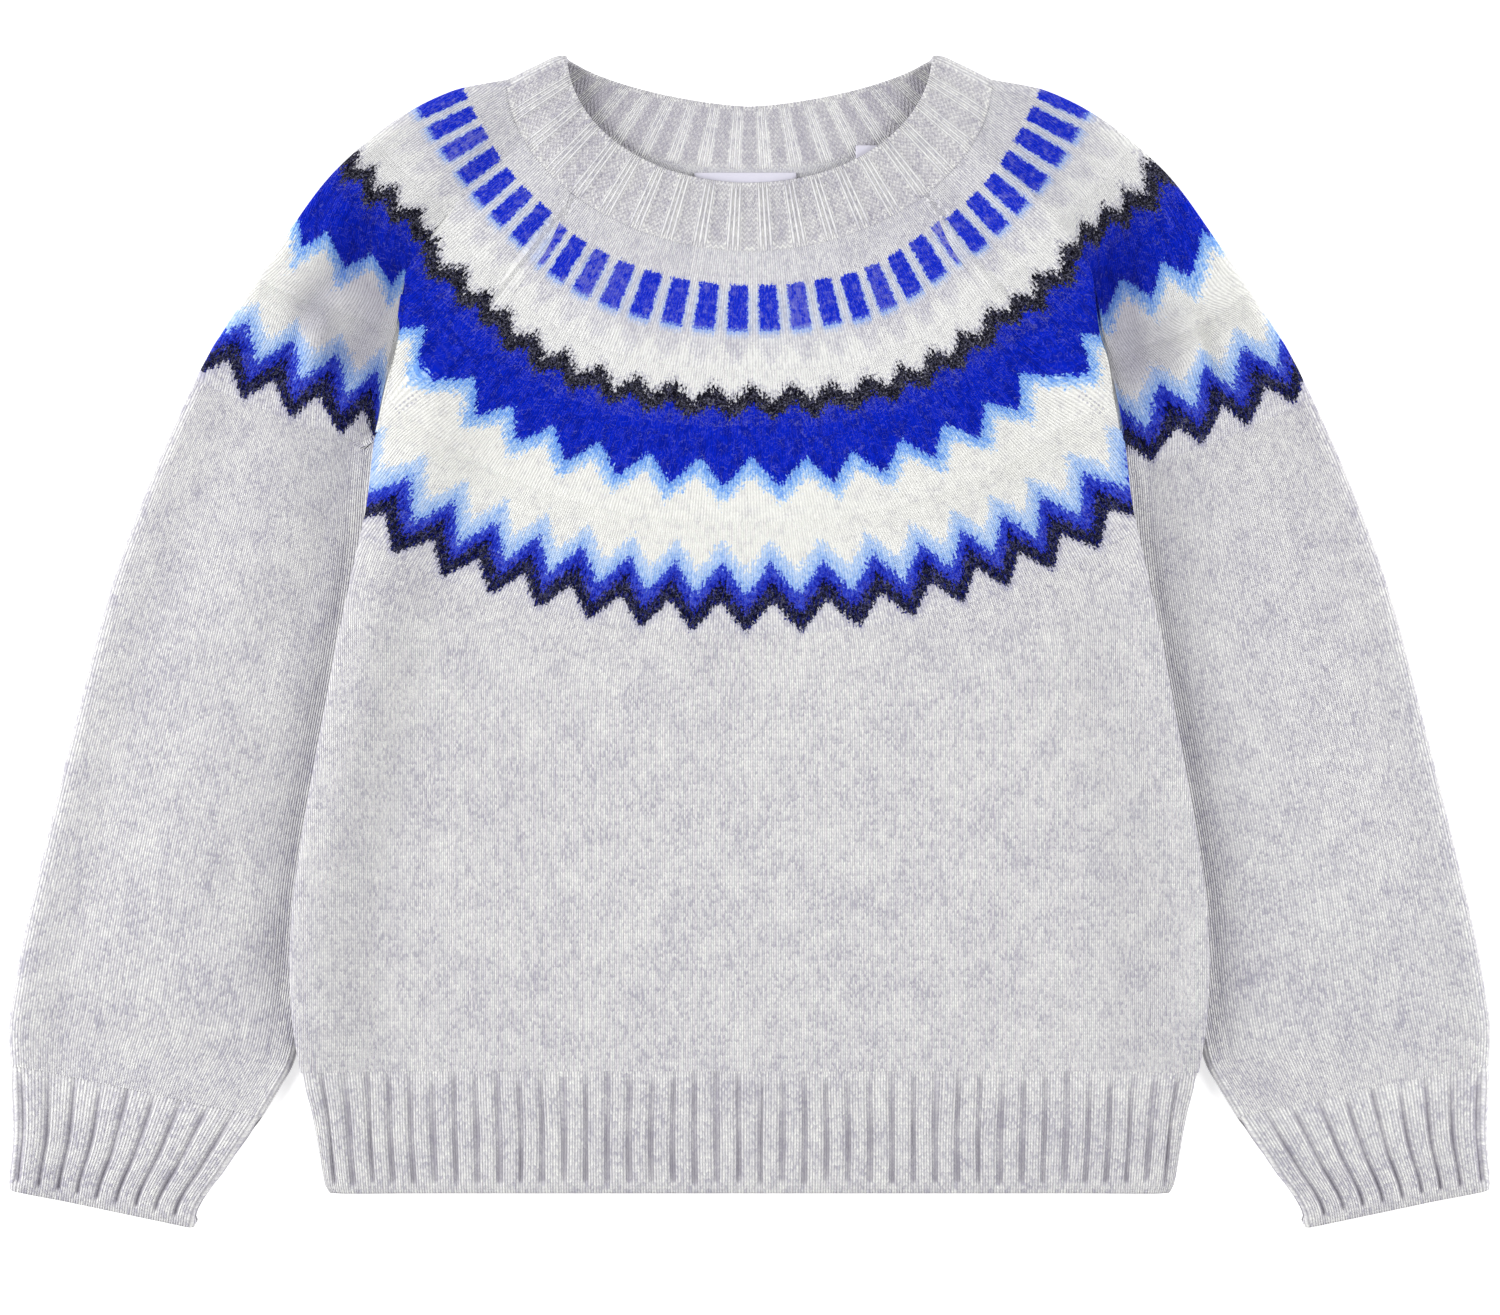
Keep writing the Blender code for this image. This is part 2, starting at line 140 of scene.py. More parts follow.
BODY_SIDE = (
    SideRow(-0.2196, 0.1680, 0.0000, 0.0072),
    SideRow(-0.2118, 0.1700, 0.0000, 0.0072),
    SideRow(-0.1878, 0.1750, 0.0008, 0.0082),
    SideRow(-0.1718, 0.1790, 0.0030, 0.0104),
    SideRow(-0.1600, 0.1808, 0.0056, 0.0126),
    SideRow(-0.1478, 0.1822, 0.0061, 0.0135),
    SideRow(-0.1278, 0.1830, 0.0061, 0.0135),
    SideRow(-0.1078, 0.1820, 0.0061, 0.0135),
    SideRow(-0.0878, 0.1794, 0.0061, 0.0135),
    SideRow(-0.0478, 0.1728, 0.0061, 0.0135),
    SideRow(-0.0078, 0.1655, 0.0061, 0.0135),
    SideRow(0.0322, 0.1570, 0.0061, 0.0135),
    SideRow(0.0540, 0.1524, 0.0040, 0.0135),
    SideRow(0.0802, 0.1494, 0.0000, 0.0135),
    SideRow(0.1070, 0.1444, 0.0000, 0.0100),
    SideRow(0.1222, 0.1414, 0.0000, 0.0078),
    SideRow(0.1454, 0.1382, 0.0000, 0.0056),
    SideRow(0.1650, 0.1250, 0.0000, 0.0056),
    SideRow(0.1790, 0.1110, 0.0000, 0.0056),
    SideRow(0.2000, 0.0860, 0.0000, 0.0056),
)

RAGLAN = (
    SeamRow(0.0710, 0.1791, 0.0660, 0.1989),
    SeamRow(0.0806, 0.1562, 0.0780, 0.1800),
    SeamRow(0.0890, 0.1450, 0.0880, 0.1650),
    SeamRow(0.1074, 0.1206, 0.1060, 0.1395),
    SeamRow(0.1314, 0.0978, 0.1300, 0.1060),
    SeamRow(0.1494, 0.0802, 0.1494, 0.0802),
)

SHOULDER = (
    ShoulderRow(0.1791, 0.0975, 0.2235),
    ShoulderRow(0.1562, 0.1154, 0.2202),
    ShoulderRow(0.1450, 0.1338, 0.2122),
    ShoulderRow(0.1206, 0.1646, 0.1882),
    ShoulderRow(0.0978, 0.1886, 0.1562),
    ShoulderRow(0.0802, 0.2148, 0.1162),
)

ARM = (
    ArmRow(0.1478, 0.0735, 0.2188, 0.1085),
    ArmRow(0.1490, 0.0580, 0.2290, 0.0870),
    ArmRow(0.1500, 0.0400, 0.2390, 0.0640),
    ArmRow(0.1550, 0.0000, 0.2550, 0.0204),
    ArmRow(0.1640, -0.0500, 0.2684, -0.0300),
    ArmRow(0.1725, -0.1000, 0.2810, -0.0810),
    ArmRow(0.1765, -0.1400, 0.2898, -0.1190),
    ArmRow(0.1812, -0.1666, 0.2936, -0.1400),
    ArmRow(0.1882, -0.1798, 0.2956, -0.1560),
    ArmRow(0.1943, -0.1900, 0.2950, -0.1689),
)

CUFF = (
    ArmRow(0.1943, -0.1900, 0.2950, -0.1689),
    ArmRow(0.2090, -0.2110, 0.2934, -0.1950),
    ArmRow(0.2206, -0.2290, 0.2946, -0.2130),
    ArmRow(0.2215, -0.2338, 0.2954, -0.2182),
)

# ------------------------------------------------------------------ lines and tables


def read(table: Sequence[NamedTuple], key: str, column: str, places: Points | float) -> Points:
    """Reads one column of a table smoothly and without overshoot.

    Args:
        table: rows with named columns.
        key: the column that the places are measured along.
        column: the column to read.
        places: where to read it.

    Returns:
        The column's values at the places.
    """
    rows = sorted(table, key=lambda row: getattr(row, key))
    keys = np.array([getattr(row, key) for row in rows])
    values = np.array([getattr(row, column) for row in rows])
    steps = np.diff(values) / np.diff(keys)
    before, after = steps[:-1], steps[1:]
    agree = before * after > 0
    inner = np.where(agree, 2 * before * after / np.where(agree, before + after, 1.0), 0.0)
    slopes = np.concatenate([steps[:1], inner, steps[-1:]])
    places = np.clip(np.asarray(places, float), keys[0], keys[-1])
    at = np.clip(np.searchsorted(keys, places) - 1, 0, len(keys) - 2)
    span = keys[at + 1] - keys[at]
    t = (places - keys[at]) / span
    start = (1 + 2 * t) * (1 - t) ** 2 * values[at] + t * (1 - t) ** 2 * span * slopes[at]
    end = t * t * (3 - 2 * t) * values[at + 1] + t * t * (t - 1) * span * slopes[at + 1]
    return start + end


def ease(share: Points | float) -> Points:
    """1 at a share of 0, falling smoothly to 0 at a share of 1."""
    share = np.clip(share, 0.0, 1.0)
    return 1 - share * share * (3 - 2 * share)


def distances(points: Points) -> Points:
    """How far along a line each of its points is."""
    return np.concatenate([[0], np.cumsum(np.linalg.norm(np.diff(points, axis=0), axis=1))])


def laid(points: Points, shares: Points) -> Points:
    """The points at shares of a line's length."""
    run = distances(points)
    return np.stack([np.interp(shares * run[-1], run, column) for column in points.T], 1)


def along(start: Points, end: Points, distance: Points | float) -> Points:
    """Points that lie a distance from start on the way to end, in the plan."""
    start, end = np.asarray(start, float), np.asarray(end, float)
    step = (end - start) / np.linalg.norm(end - start)
    return start + np.multiply.outer(distance, step)


def ripples(x: Points, y: Points, seed: int, size: float, waves: int = 9) -> Points:
    """A smooth uneven field between about -1 and 1, the same each time for one seed.

    Args:
        x: the places' x.
        y: the places' y.
        seed: picks the waves.
        size: the distance between one swell and the next.
        waves: how many waves cross each other.

    Returns:
        The field's values.
    """
    draw = np.random.default_rng(seed)
    total = np.zeros(np.broadcast(x, y).shape)
    for _ in range(waves):
        turn = draw.uniform(0, 2 * math.pi)
        pace = 2 * math.pi / size * draw.uniform(0.6, 1.5)
        total += np.sin((x * math.cos(turn) + y * math.sin(turn)) * pace + draw.uniform(0, 6.3))
    return total / math.sqrt(waves / 2) / 2


def creased(x: Points, y: Points, creases: Sequence[Crease]) -> Points:
    """How far soft creases move the cloth up, at places of the plan.

    Args:
        x: the places' x.
        y: the places' y.
        creases: the creases, whose depths go down.

    Returns:
        The heights to add.
    """
    total = np.zeros_like(x)
    for crease in creases:
        run = np.array([crease.x1 - crease.x0, crease.y1 - crease.y0])
        length = np.linalg.norm(run)
        share = ((x - crease.x0) * run[0] + (y - crease.y0) * run[1]) / length**2
        beside = ((x - crease.x0) * run[1] - (y - crease.y0) * run[0]) / length
        past = np.maximum(np.abs(share - 0.5) - 0.28, 0) * length / (crease.width * 1.2)
        total -= crease.depth * np.exp(-((beside / crease.width) ** 2) - past**2)
    return total


# ------------------------------------------------------------------ the body's own lines


def side(column: str, y: Points | float) -> Points:
    """A column of the body's side edge at heights up the body."""
    return read(BODY_SIDE, "y", column, y)


@dataclass(frozen=True)
class NeckLine:
    """A curve round the neck, from the middle (a turn of 0) to the shoulder (90)."""

    half: float
    side_y: float
    drop: float
    power: float

    def at(self, turns: Points | float) -> Points:
        """Points of the curve at turns in degrees."""
        angle = np.radians(turns)
        x = self.half * np.sin(angle) ** (2 / self.power)
        y = self.side_y - self.drop * np.maximum(np.cos(angle), 0.0) ** (2 / self.power)
        return np.stack([x, y], -1)

    def turn(self, x: Points | float) -> Points:
        """The turns at which the curve is a distance from the middle."""
        return np.degrees(np.arcsin(np.clip(x / self.half, 0, 1) ** (self.power / 2)))


SEAM_LINES = {
    Layer.FRONT: NeckLine(0.0958, 0.2225, 0.0667, 1.9),
    Layer.BACK: NeckLine(0.0958, 0.2225, 0.0351, 1.8),
}
FREE_LINES = {
    Layer.FRONT: NeckLine(0.0733, 0.2334, 0.0516, 2.0),
    Layer.BACK: NeckLine(0.0733, 0.2334, 0.0206, 1.5),
}


@dataclass(frozen=True)
class BodyForm:
    """The surface that the body's two layers share with the ribs below them."""

    front_ease: float = 0.028
    edge_spread: float = 3.2
    back_shelf: float = 0.008
    back_ease: float = 0.014

    def radius(self, y: Points) -> Points:
        """Radius of the middle of the cloth where it rolls over the side edge."""
        return (side("crest", y) - side("lift", y) - WALL) / 2

    def half(self, y: Points) -> Points:
        """Half width that the columns are laid out on, the same above the fold."""
        return side("half_width", np.minimum(y, FOLD_TOP_Y)) - WALL / 2

    def height(self, x: Points, y: Points, layer: Layer) -> Points:
        """Height of the middle of a layer.

        Args:
            x: distances from the middle of the body.
            y: heights up the body.
            layer: the layer.

        Returns:
            The heights above the surface that the sweater lies on.
        """
        inset = side("half_width", y) - WALL / 2 - x
        radius = self.radius(y)
        spread_out = self.edge_spread if layer is Layer.FRONT else 1.0
        within = np.maximum(radius - np.maximum(inset, 0) / spread_out, 0)
        turned = np.sqrt(np.maximum(radius**2 - within**2, 0))
        middle = (side("crest", y) + side("lift", y)) / 2
        if layer is Layer.FRONT:
            top = side("crest", y) - WALL / 2
            reach = radius * spread_out
            flat = UPPER + (top - UPPER) * ease((inset - reach) / self.front_ease)
            return np.where(inset < reach, middle + turned, flat)
        lift = side("lift", y) * ease((inset - radius - self.back_shelf) / self.back_ease)
        return np.where(inset < radius, middle - turned, LOW + lift)

    def raglan_top(self, x_at: Callable[[Points], Points], layer: Layer, count: int) -> Points:
        """Heights at which columns of the body meet the raglan seam.

        Args:
            x_at: gives the columns' x at one height for each column.
            layer: the layer.
            count: how many columns there are.

        Returns:
            A height for each column.
        """
        low = np.full(count, UNDERARM_Y)
        high = np.full(count, getattr(RAGLAN[0], layer.value + "_y"))
        for _ in range(30):
            middle = (low + high) / 2
            seam = read(RAGLAN, layer.value + "_y", layer.value + "_x", middle)
            inside = x_at(middle) < seam
            low, high = np.where(inside, middle, low), np.where(inside, high, middle)
        return low


# ------------------------------------------------------------------ the charted yoke


class FrontRow(NamedTuple):
    """What to add to turns and rings of the front at one turn, for each round of the yoke."""

    turn: float
    dash_turn: float
    top_turn: float
    tooth_turn: float
    low_turn: float
    dash_ring: float
    top_ring: float
    tooth_ring: float
    pale_ring: float
    low_ring: float


FRONT_CHART = (
    FrontRow(-43.0, 0.00, 0.00, 0.00, 0.10, 0.0, 0.0, 1.2, -5.0, -9.0),
    FrontRow(-40.7, 0.00, 0.40, 0.70, 0.10, 0.0, 0.0, 0.0, -6.0, -10.0),
    FrontRow(-39.4, 0.00, 0.80, -0.40, 0.10, 0.0, 0.0, -1.2, -6.0, -10.0),
    FrontRow(-37.8, -2.30, -3.00, -1.50, 0.10, -1.6, -0.6, -2.3, -6.0, -10.0),
    FrontRow(-34.0, -1.00, -2.60, -1.90, -0.20, -1.8, -2.0, -2.8, -6.1, -9.7),
    FrontRow(-29.0, -0.35, -2.00, -1.30, -0.30, -1.7, -3.3, -4.0, -5.2, -8.5),
    FrontRow(-23.5, 0.10, -1.35, -0.60, -0.20, -1.5, -3.6, -4.1, -4.3, -6.4),
    FrontRow(-18.0, 0.20, -1.00, -0.30, 0.10, -1.0, -3.1, -3.4, -2.9, -4.3),
    FrontRow(-12.0, 0.30, -0.30, -0.20, 0.00, -0.6, -1.6, -2.2, -2.0, -2.5),
    FrontRow(-6.0, 0.20, -0.20, 0.10, 0.00, -0.2, -0.9, -0.9, -0.2, -0.9),
    FrontRow(0.0, 0.10, 0.00, 0.00, -0.30, 0.1, 0.0, 0.2, 0.4, 0.0),
    FrontRow(6.0, 0.15, 0.00, -0.30, -0.85, -0.1, -0.5, -0.7, 0.0, -0.8),
    FrontRow(12.0, 0.45, 0.40, 0.20, -1.40, -0.4, -1.6, -1.2, -0.6, -1.6),
    FrontRow(17.5, 1.00, 0.70, 0.40, -1.55, -1.3, -2.7, -1.6, -1.1, -2.0),
    FrontRow(23.0, 1.85, 1.80, 1.00, -1.15, -1.3, -2.3, -1.7, -1.5, -2.7),
    FrontRow(29.0, 2.50, 2.80, 1.50, -0.75, 0.0, -1.1, -1.0, -2.1, -4.5),
    FrontRow(34.0, 2.85, 3.40, 1.90, -0.85, 0.8, 1.2, 1.6, -2.3, -5.6),
    FrontRow(36.4, 2.95, 3.60, 1.40, -0.95, 0.9, 1.4, -0.4, -2.1, -6.0),
    FrontRow(37.2, 3.00, 3.70, 1.00, -1.00, 1.0, 1.5, -1.4, -2.0, -6.2),
    FrontRow(38.8, 3.00, -0.30, 0.10, -1.00, 0.0, 0.0, -3.3, -2.0, -6.2),
    FrontRow(39.8, 0.00, -0.10, -0.40, -1.00, 0.0, 0.0, -3.9, -2.0, -6.2),
    FrontRow(43.0, 0.00, 0.80, 0.20, -1.00, 0.0, 0.0, -1.0, -2.0, -6.2),
)
TURN_LEVELS = {"top_turn": 171.0, "tooth_turn": 203.0, "low_turn": 233.0}
RING_LEVELS = {
    "dash_ring": 134.0,
    "top_ring": 171.0,
    "tooth_ring": 203.0,
    "pale_ring": 234.0,
    "low_ring": 257.0,
}


def charted(ring: Points, turn: Points, levels: dict[str, float]) -> Points:
    """What the front's chart adds at rings and turns, going evenly from level to level.

    Args:
        ring: the places' rings.
        turn: the places' turns.
        levels: the ring at which each column of the chart counts.

    Returns:
        The additions.
    """
    columns = list(levels)
    total = read(FRONT_CHART, "turn", columns[0], turn)
    for near, far in zip(columns, columns[1:]):
        share = np.clip((ring - levels[near]) / (levels[far] - levels[near]), 0, 1)
        step = read(FRONT_CHART, "turn", far, turn) - read(FRONT_CHART, "turn", near, turn)
        total = total + share * step
    return total


class DashRow(NamedTuple):
    """How many dashes a sleeve has counted at a turn, both from the middle of the front."""

    turn: float
    count: float


SLEEVE_DASHES = (
    DashRow(37.4, 7.88),
    DashRow(39.6, 8.10),
    DashRow(41.3, 8.5),
    DashRow(46.1, 9.5),
    DashRow(50.3, 10.5),
    DashRow(54.9, 11.5),
    DashRow(59.2, 12.5),
    DashRow(63.1, 13.5),
    DashRow(67.3, 14.5),
    DashRow(88.5, 19.5),
)
DASH_PERIOD = 5.23
DASH_PEAK = 0.18


@dataclass(frozen=True)
class YokeMap:
    """Where the charted rounds of the yoke lie on the cloth.

    A place's ring is its distance from the yoke's centre in millimetres, counted on the cloth,
    and its turn is in degrees from straight down, towards +X.
    """

    body_ring: float = 263.0
    fan: float = 42.0
    back_rise: float = 31.6
    back_turn: float = 75.0
    back_narrowing: float = 27.0
    wale: float = 1.85
    course: float = 1.35
    left_lead: float = 1.9

    def sleeve_dashes(self, turn: Points) -> Points:
        """Turns with a sleeve's dashes as close together as they lie on it."""
        lead = self.left_lead * ease((np.abs(turn) - 40) / 30) * (turn > 0)
        count = read(SLEEVE_DASHES, "turn", "count", np.abs(turn) + lead)
        return np.sign(turn) * count * DASH_PERIOD + DASH_PEAK

    def polar(self, x: Points, y: Points) -> tuple[Points, Points]:
        """Ring and turn of places of the plan, as the crow flies."""
        dx = (x - YOKE_CENTRE[0]) * 1000
        dy = (YOKE_CENTRE[1] - y) * 1000
        return np.hypot(dx, dy), np.degrees(np.arctan2(dx, dy))

    def back_shift(self, ring: Points, turn: Points) -> Points:
        """How much further from the centre the back's rounds count, under its higher neck."""
        reach = self.back_turn - (ring - 110) / 153 * self.back_narrowing
        share = np.abs(turn) / np.maximum(reach, 20)
        return self.back_rise * np.maximum(1 - share**2, 0)

    def knit(self, x: Points, y: Points) -> tuple[Points, Points]:
        """Wale and course of the body below the yoke, where the wales bend to hang straight.

        Args:
            x: the places' x.
            y: the places' y.

        Returns:
            The wales and the courses, in stitches and rows.
        """
        across = (x - YOKE_CENTRE[0]) * 1000
        down = (YOKE_CENTRE[1] - y) * 1000
        sine = across / np.hypot(across, np.maximum(down, 1))
        for _ in range(6):
            depth = np.clip(down - self.body_ring * np.sqrt(1 - sine**2), 0, self.fan)
            sine = np.clip(across / (self.body_ring + depth * (1 - depth / 2 / self.fan)), -0.9, 0.9)
        return np.arcsin(sine) * (self.body_ring + self.fan / 2) / self.wale, down / self.course


YOKE_MAP = YokeMap()


@dataclass(frozen=True)
class SleeveChart:
    """How the rounds run on past the pleat of one sleeve, bent smoothly through charted corners."""

    marks: tuple[Mark, ...]
    stiffness: float = 2e-4
    reach: float = 0.010
    unit: float = 0.1

    def plate(self, x: Points, y: Points) -> Points:
        """The bends that the chart adds up at places: one for each mark, then a flat part."""
        marks = np.array(self.marks)
        span = np.hypot(x[..., None] - marks[:, 0], y[..., None] - marks[:, 1]) / self.unit
        bends = span**2 * np.log(np.maximum(span, 1e-9))
        flat = np.stack([np.ones_like(x), x / self.unit, y / self.unit], -1)
        return np.concatenate([bends, flat], -1)

    def shifts(self, x: Points, y: Points) -> tuple[Points, Points]:
        """What to add to rings and turns (on the sleeve's own side) to count in rounds.

        Args:
            x: the places' x.
            y: the places' y.

        Returns:
            The additions to the rings and to the turns.
        """
        marks = np.array(self.marks)
        ring, turn = YOKE_MAP.polar(marks[:, 0], marks[:, 1])
        wanted = np.stack([marks[:, 2] - ring, marks[:, 3] - np.abs(turn)], 1)
        known = self.plate(marks[:, 0], marks[:, 1])
        count = len(marks)
        table = np.zeros((count + 3, count + 3))
        table[:count] = known
        table[:count, :count] += self.stiffness * np.eye(count)
        table[count:, :count] = known[:, count:].T
        bends = np.linalg.solve(table, np.concatenate([wanted, np.zeros((3, 2))]))
        low = marks[:, :2].min(0) - self.reach
        high = marks[:, :2].max(0) + self.reach
        found = self.plate(np.clip(x, low[0], high[0]), np.clip(y, low[1], high[1])) @ bends
        return found[..., 0], found[..., 1]


def marks(side_sign: int, rings: dict[float, tuple[Vector3, ...]]) -> tuple[Mark, ...]:
    """Marks on one side, from each ring's corners as x and y (millimetres) and turn."""
    return tuple(
        Mark(side_sign * x / 1000, y / 1000, ring, turn)
        for ring, corners in rings.items()
        for x, y, turn in corners
    )


LEFT_MARKS = marks(
    1,
    {
        134.0: ((89.8, 165.5, 41.3), (111.1, 189.2, 55.5), (125.0, 214.5, 69.5)),
        164.4: (
            (125.0, 159.0, 49.3), (132.2, 167.4, 54.8), (140.2, 173.0, 60.3),
            (148.2, 179.4, 65.8), (156.2, 190.6, 71.3),
        ),
        178.4: ((139.4, 156.2, 57.6), (150.6, 164.2, 63.1), (162.2, 169.8, 68.6)),
        193.2: ((148.2, 144.6, 60.5), (164.2, 151.4, 66.6), (179.4, 162.2, 72.7)),
        205.2: ((142.2, 129.2, 57.5), (159.8, 136.0, 63.5), (176.2, 145.0, 69.6)),
        212.0: ((144.2, 121.0, 57.5), (161.8, 127.4, 63.5), (179.4, 135.4, 69.6)),
        227.4: ((161.0, 109.4, 59.2), (178.6, 116.2, 63.7), (193.4, 123.8, 68.1)),
        239.0: (
            (154.2, 95.8, 57.0), (172.6, 102.6, 61.4),
            (187.8, 110.2, 65.9), (205.0, 117.8, 70.3),
        ),
        251.4: (
            (151.2, 77.4, 54.8), (170.5, 85.0, 59.2),
            (188.0, 93.0, 63.7), (205.6, 100.4, 68.1),
        ),
        262.8: ((160.6, 71.4, 57.0), (179.8, 77.8, 61.4), (198.2, 85.4, 65.9), (217.4, 94.2, 70.3)),
    },
)
RIGHT_MARKS = marks(
    -1,
    {
        134.0: ((87.0, 165.5, 41.3), (108.2, 189.2, 55.2), (122.2, 214.5, 69.2)),
        164.4: (
            (121.4, 163.0, 49.7), (130.6, 172.2, 55.2), (140.2, 180.4, 60.7),
            (148.6, 188.2, 66.2), (154.6, 196.2, 71.7),
        ),
        178.4: (
            (134.6, 159.0, 52.4), (142.6, 165.4, 57.9),
            (153.4, 172.0, 63.4), (162.6, 182.2, 68.9),
        ),
        193.2: ((150.2, 153.8, 60.9), (167.8, 162.2, 66.9), (179.0, 170.2, 73.0)),
        205.2: ((143.0, 141.0, 57.8), (161.0, 148.2, 63.9), (177.4, 156.2, 70.0)),
        212.0: ((144.2, 132.6, 57.8), (164.2, 139.4, 63.9), (183.0, 147.4, 70.0)),
        227.4: (
            (146.2, 116.6, 56.5), (163.0, 121.4, 60.9),
            (179.8, 127.4, 65.4), (195.8, 134.2, 69.8),
        ),
        239.0: ((156.6, 107.4, 58.7), (173.0, 114.2, 63.2), (191.0, 119.8, 67.6)),
        251.4: (
            (153.8, 91.4, 56.5), (171.2, 97.0, 60.9),
            (189.8, 103.2, 65.4), (207.8, 111.2, 69.8),
        ),
        262.8: ((163.0, 82.2, 58.7), (182.2, 88.6, 63.2), (201.2, 95.8, 67.6)),
    },
)

SLEEVE_CHARTS = {Hand.LEFT: SleeveChart(LEFT_MARKS), Hand.RIGHT: SleeveChart(RIGHT_MARKS)}

# ------------------------------------------------------------------ sheets of cloth


@dataclass
class ClothSheet:
    """A closed sheet of cloth over a grid of points through its middle.

    Attributes:
        name: the piece's name.
        grid: the points, by row and column.
        wall: the cloth's thickness.
        relief: how far the outside stands out past the wall, for each point.
        fields: values that the finish follows, three for each point.
        flipped: whether the outside is on the other side of the grid.
        closed: whether the last column joins the first.
        bulges: how far the edges round out: first row, last column, last row, first column.
    """

    name: str
    grid: Points
    wall: float
    relief: Points
    fields: dict[str, Points]
    flipped: bool = False
    closed: bool = False
    bulges: tuple[float, float, float, float] = (0.0, 0.0, 0.0, 0.0)
    rim: int = 3

    def normals(self) -> Points:
        """Directions out of the cloth's outside, one for each point."""
        if self.closed:
            across = np.roll(self.grid, -1, 1) - np.roll(self.grid, 1, 1)
        else:
            across = np.gradient(self.grid, axis=1)
        out = np.cross(across, np.gradient(self.grid, axis=0))
        out /= np.maximum(np.linalg.norm(out, axis=2, keepdims=True), 1e-12)
        return -out if self.flipped else out

    def edge_loops(self) -> list[list[tuple[int, int, int, int, float]]]:
        """The sheet's edges as loops of row, column, the point inwards of it, and bulge."""
        rows, columns = self.grid.shape[:2]
        foot, right, head, left = self.bulges
        if self.closed:
            low = [(0, c, 1, c, foot) for c in range(columns)]
            return [low, [(rows - 1, c, rows - 2, c, head) for c in reversed(range(columns))]]
        loop = [(0, c, 1, c, foot) for c in range(columns - 1)]
        loop += [(r, columns - 1, r, columns - 2, right) for r in range(rows - 1)]
        loop += [(rows - 1, c, rows - 2, c, head) for c in range(columns - 1, 0, -1)]
        loop += [(r, 0, r, 1, left) for r in range(rows - 1, 0, -1)]
        return [loop]

    def build(self) -> bpy.types.Object:
        """Makes the closed mesh as an object.

        Returns:
            The new object, at the origin.
        """
        rows, columns = self.grid.shape[:2]
        out = self.normals()
        outer = self.grid + out * (self.wall / 2 + self.relief)[..., None]
        inner = self.grid - out * self.wall / 2
        points = [outer.reshape(-1, 3), inner.reshape(-1, 3)]
        values = {name: [v.reshape(-1, 3)] * 2 for name, v in self.fields.items()}
        index = np.arange(rows * columns).reshape(rows, columns)
        if self.closed:
            index = np.concatenate([index, index[:, :1]], 1)
        quads = np.stack([index[:-1, :-1], index[:-1, 1:], index[1:, 1:], index[1:, :-1]], -1)
        quads = quads.reshape(-1, 4)
        if self.flipped:
            quads = quads[:, ::-1]
        faces = [quads, quads[:, ::-1] + rows * columns]
        total = 2 * rows * columns
        for loop in self.edge_loops():
            at = np.array([(r, c) for r, c, *_ in loop])
            inward = np.array([(r, c) for _, _, r, c, _ in loop])
            bulge = np.array([row[-1] for row in loop])[:, None]
            middle = self.grid[at[:, 0], at[:, 1]]
            away = middle - self.grid[inward[:, 0], inward[:, 1]]
            away /= np.maximum(np.linalg.norm(away, axis=1, keepdims=True), 1e-12)
            high, low = outer[at[:, 0], at[:, 1]], inner[at[:, 0], at[:, 1]]
            strips = [at[:, 0] * columns + at[:, 1]]
            for k in range(1, self.rim + 1):
                angle = math.pi * k / (self.rim + 1)
                blend = (1 + math.cos(angle)) / 2
                ring = high * blend + low * (1 - blend) + away * bulge * math.sin(angle)
                points.append(ring)
                for name, v in self.fields.items():
                    values[name].append(v[at[:, 0], at[:, 1]])
                strips.append(total + np.arange(len(loop)))
                total += len(loop)
            strips.append(strips[0] + rows * columns)
            for near, far in zip(strips, strips[1:]):
                band = np.stack([near, far, np.roll(far, -1), np.roll(near, -1)], 1)
                faces.append(band[:, ::-1] if self.flipped else band)
        return self.to_object(np.concatenate(points), np.concatenate(faces), values)

    def to_object(
        self, points: Points, faces: Points, values: dict[str, list[Points]]
    ) -> bpy.types.Object:
        """An object from points, four-sided faces and the values that the finish follows."""
        mesh = bpy.data.meshes.new(self.name)
        mesh.vertices.add(len(points))
        mesh.vertices.foreach_set("co", points.astype(np.float32).ravel())
        mesh.loops.add(faces.size)
        mesh.loops.foreach_set("vertex_index", faces.astype(np.int32).ravel())
        mesh.polygons.add(len(faces))
        mesh.polygons.foreach_set("loop_start", np.arange(0, faces.size, 4, dtype=np.int32))
        mesh.update(calc_edges=True)
        mesh.validate()
        mesh.shade_smooth()
        mesh.set_sharp_from_angle(angle=math.radians(55))
        for name, parts in values.items():
            store = mesh.attributes.new(name, "FLOAT_VECTOR", "POINT")
            store.data.foreach_set("vector", np.concatenate(parts).astype(np.float32).ravel())
        piece = bpy.data.objects.new(self.name, mesh)
        bpy.context.scene.collection.objects.link(piece)
        return piece


@dataclass(frozen=True)
class Cut:
    """The flat cut of a sheet: its width, its length and the area of its shape."""

    width: float
    length: float
    area: float


def place(
    piece: bpy.types.Object,
    node: str,
    material: bpy.types.Material,
) -> None:
    """Gives a sheet its finish and its place in the frame.

    Args:
        piece: the sheet's object.
        node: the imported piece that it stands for.
        material: the finish.
    """
    piece.data.materials.append(material)
    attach(piece, "root")
    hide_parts(node)
    faces = len(piece.data.polygons)
    log.info("%s: %d faces in place of %s", piece.name, faces, node)


# ------------------------------------------------------------------ shader building


def operator(operation: str) -> Callable[..., "Term"]:
    """A method that works out one operation of a term and any others."""

    def method(self: "Term", *others: "Term | float") -> "Term":
        """The operation's result; a comparison's is 1 where it is true."""
        return self.math(operation, *others)

    return method


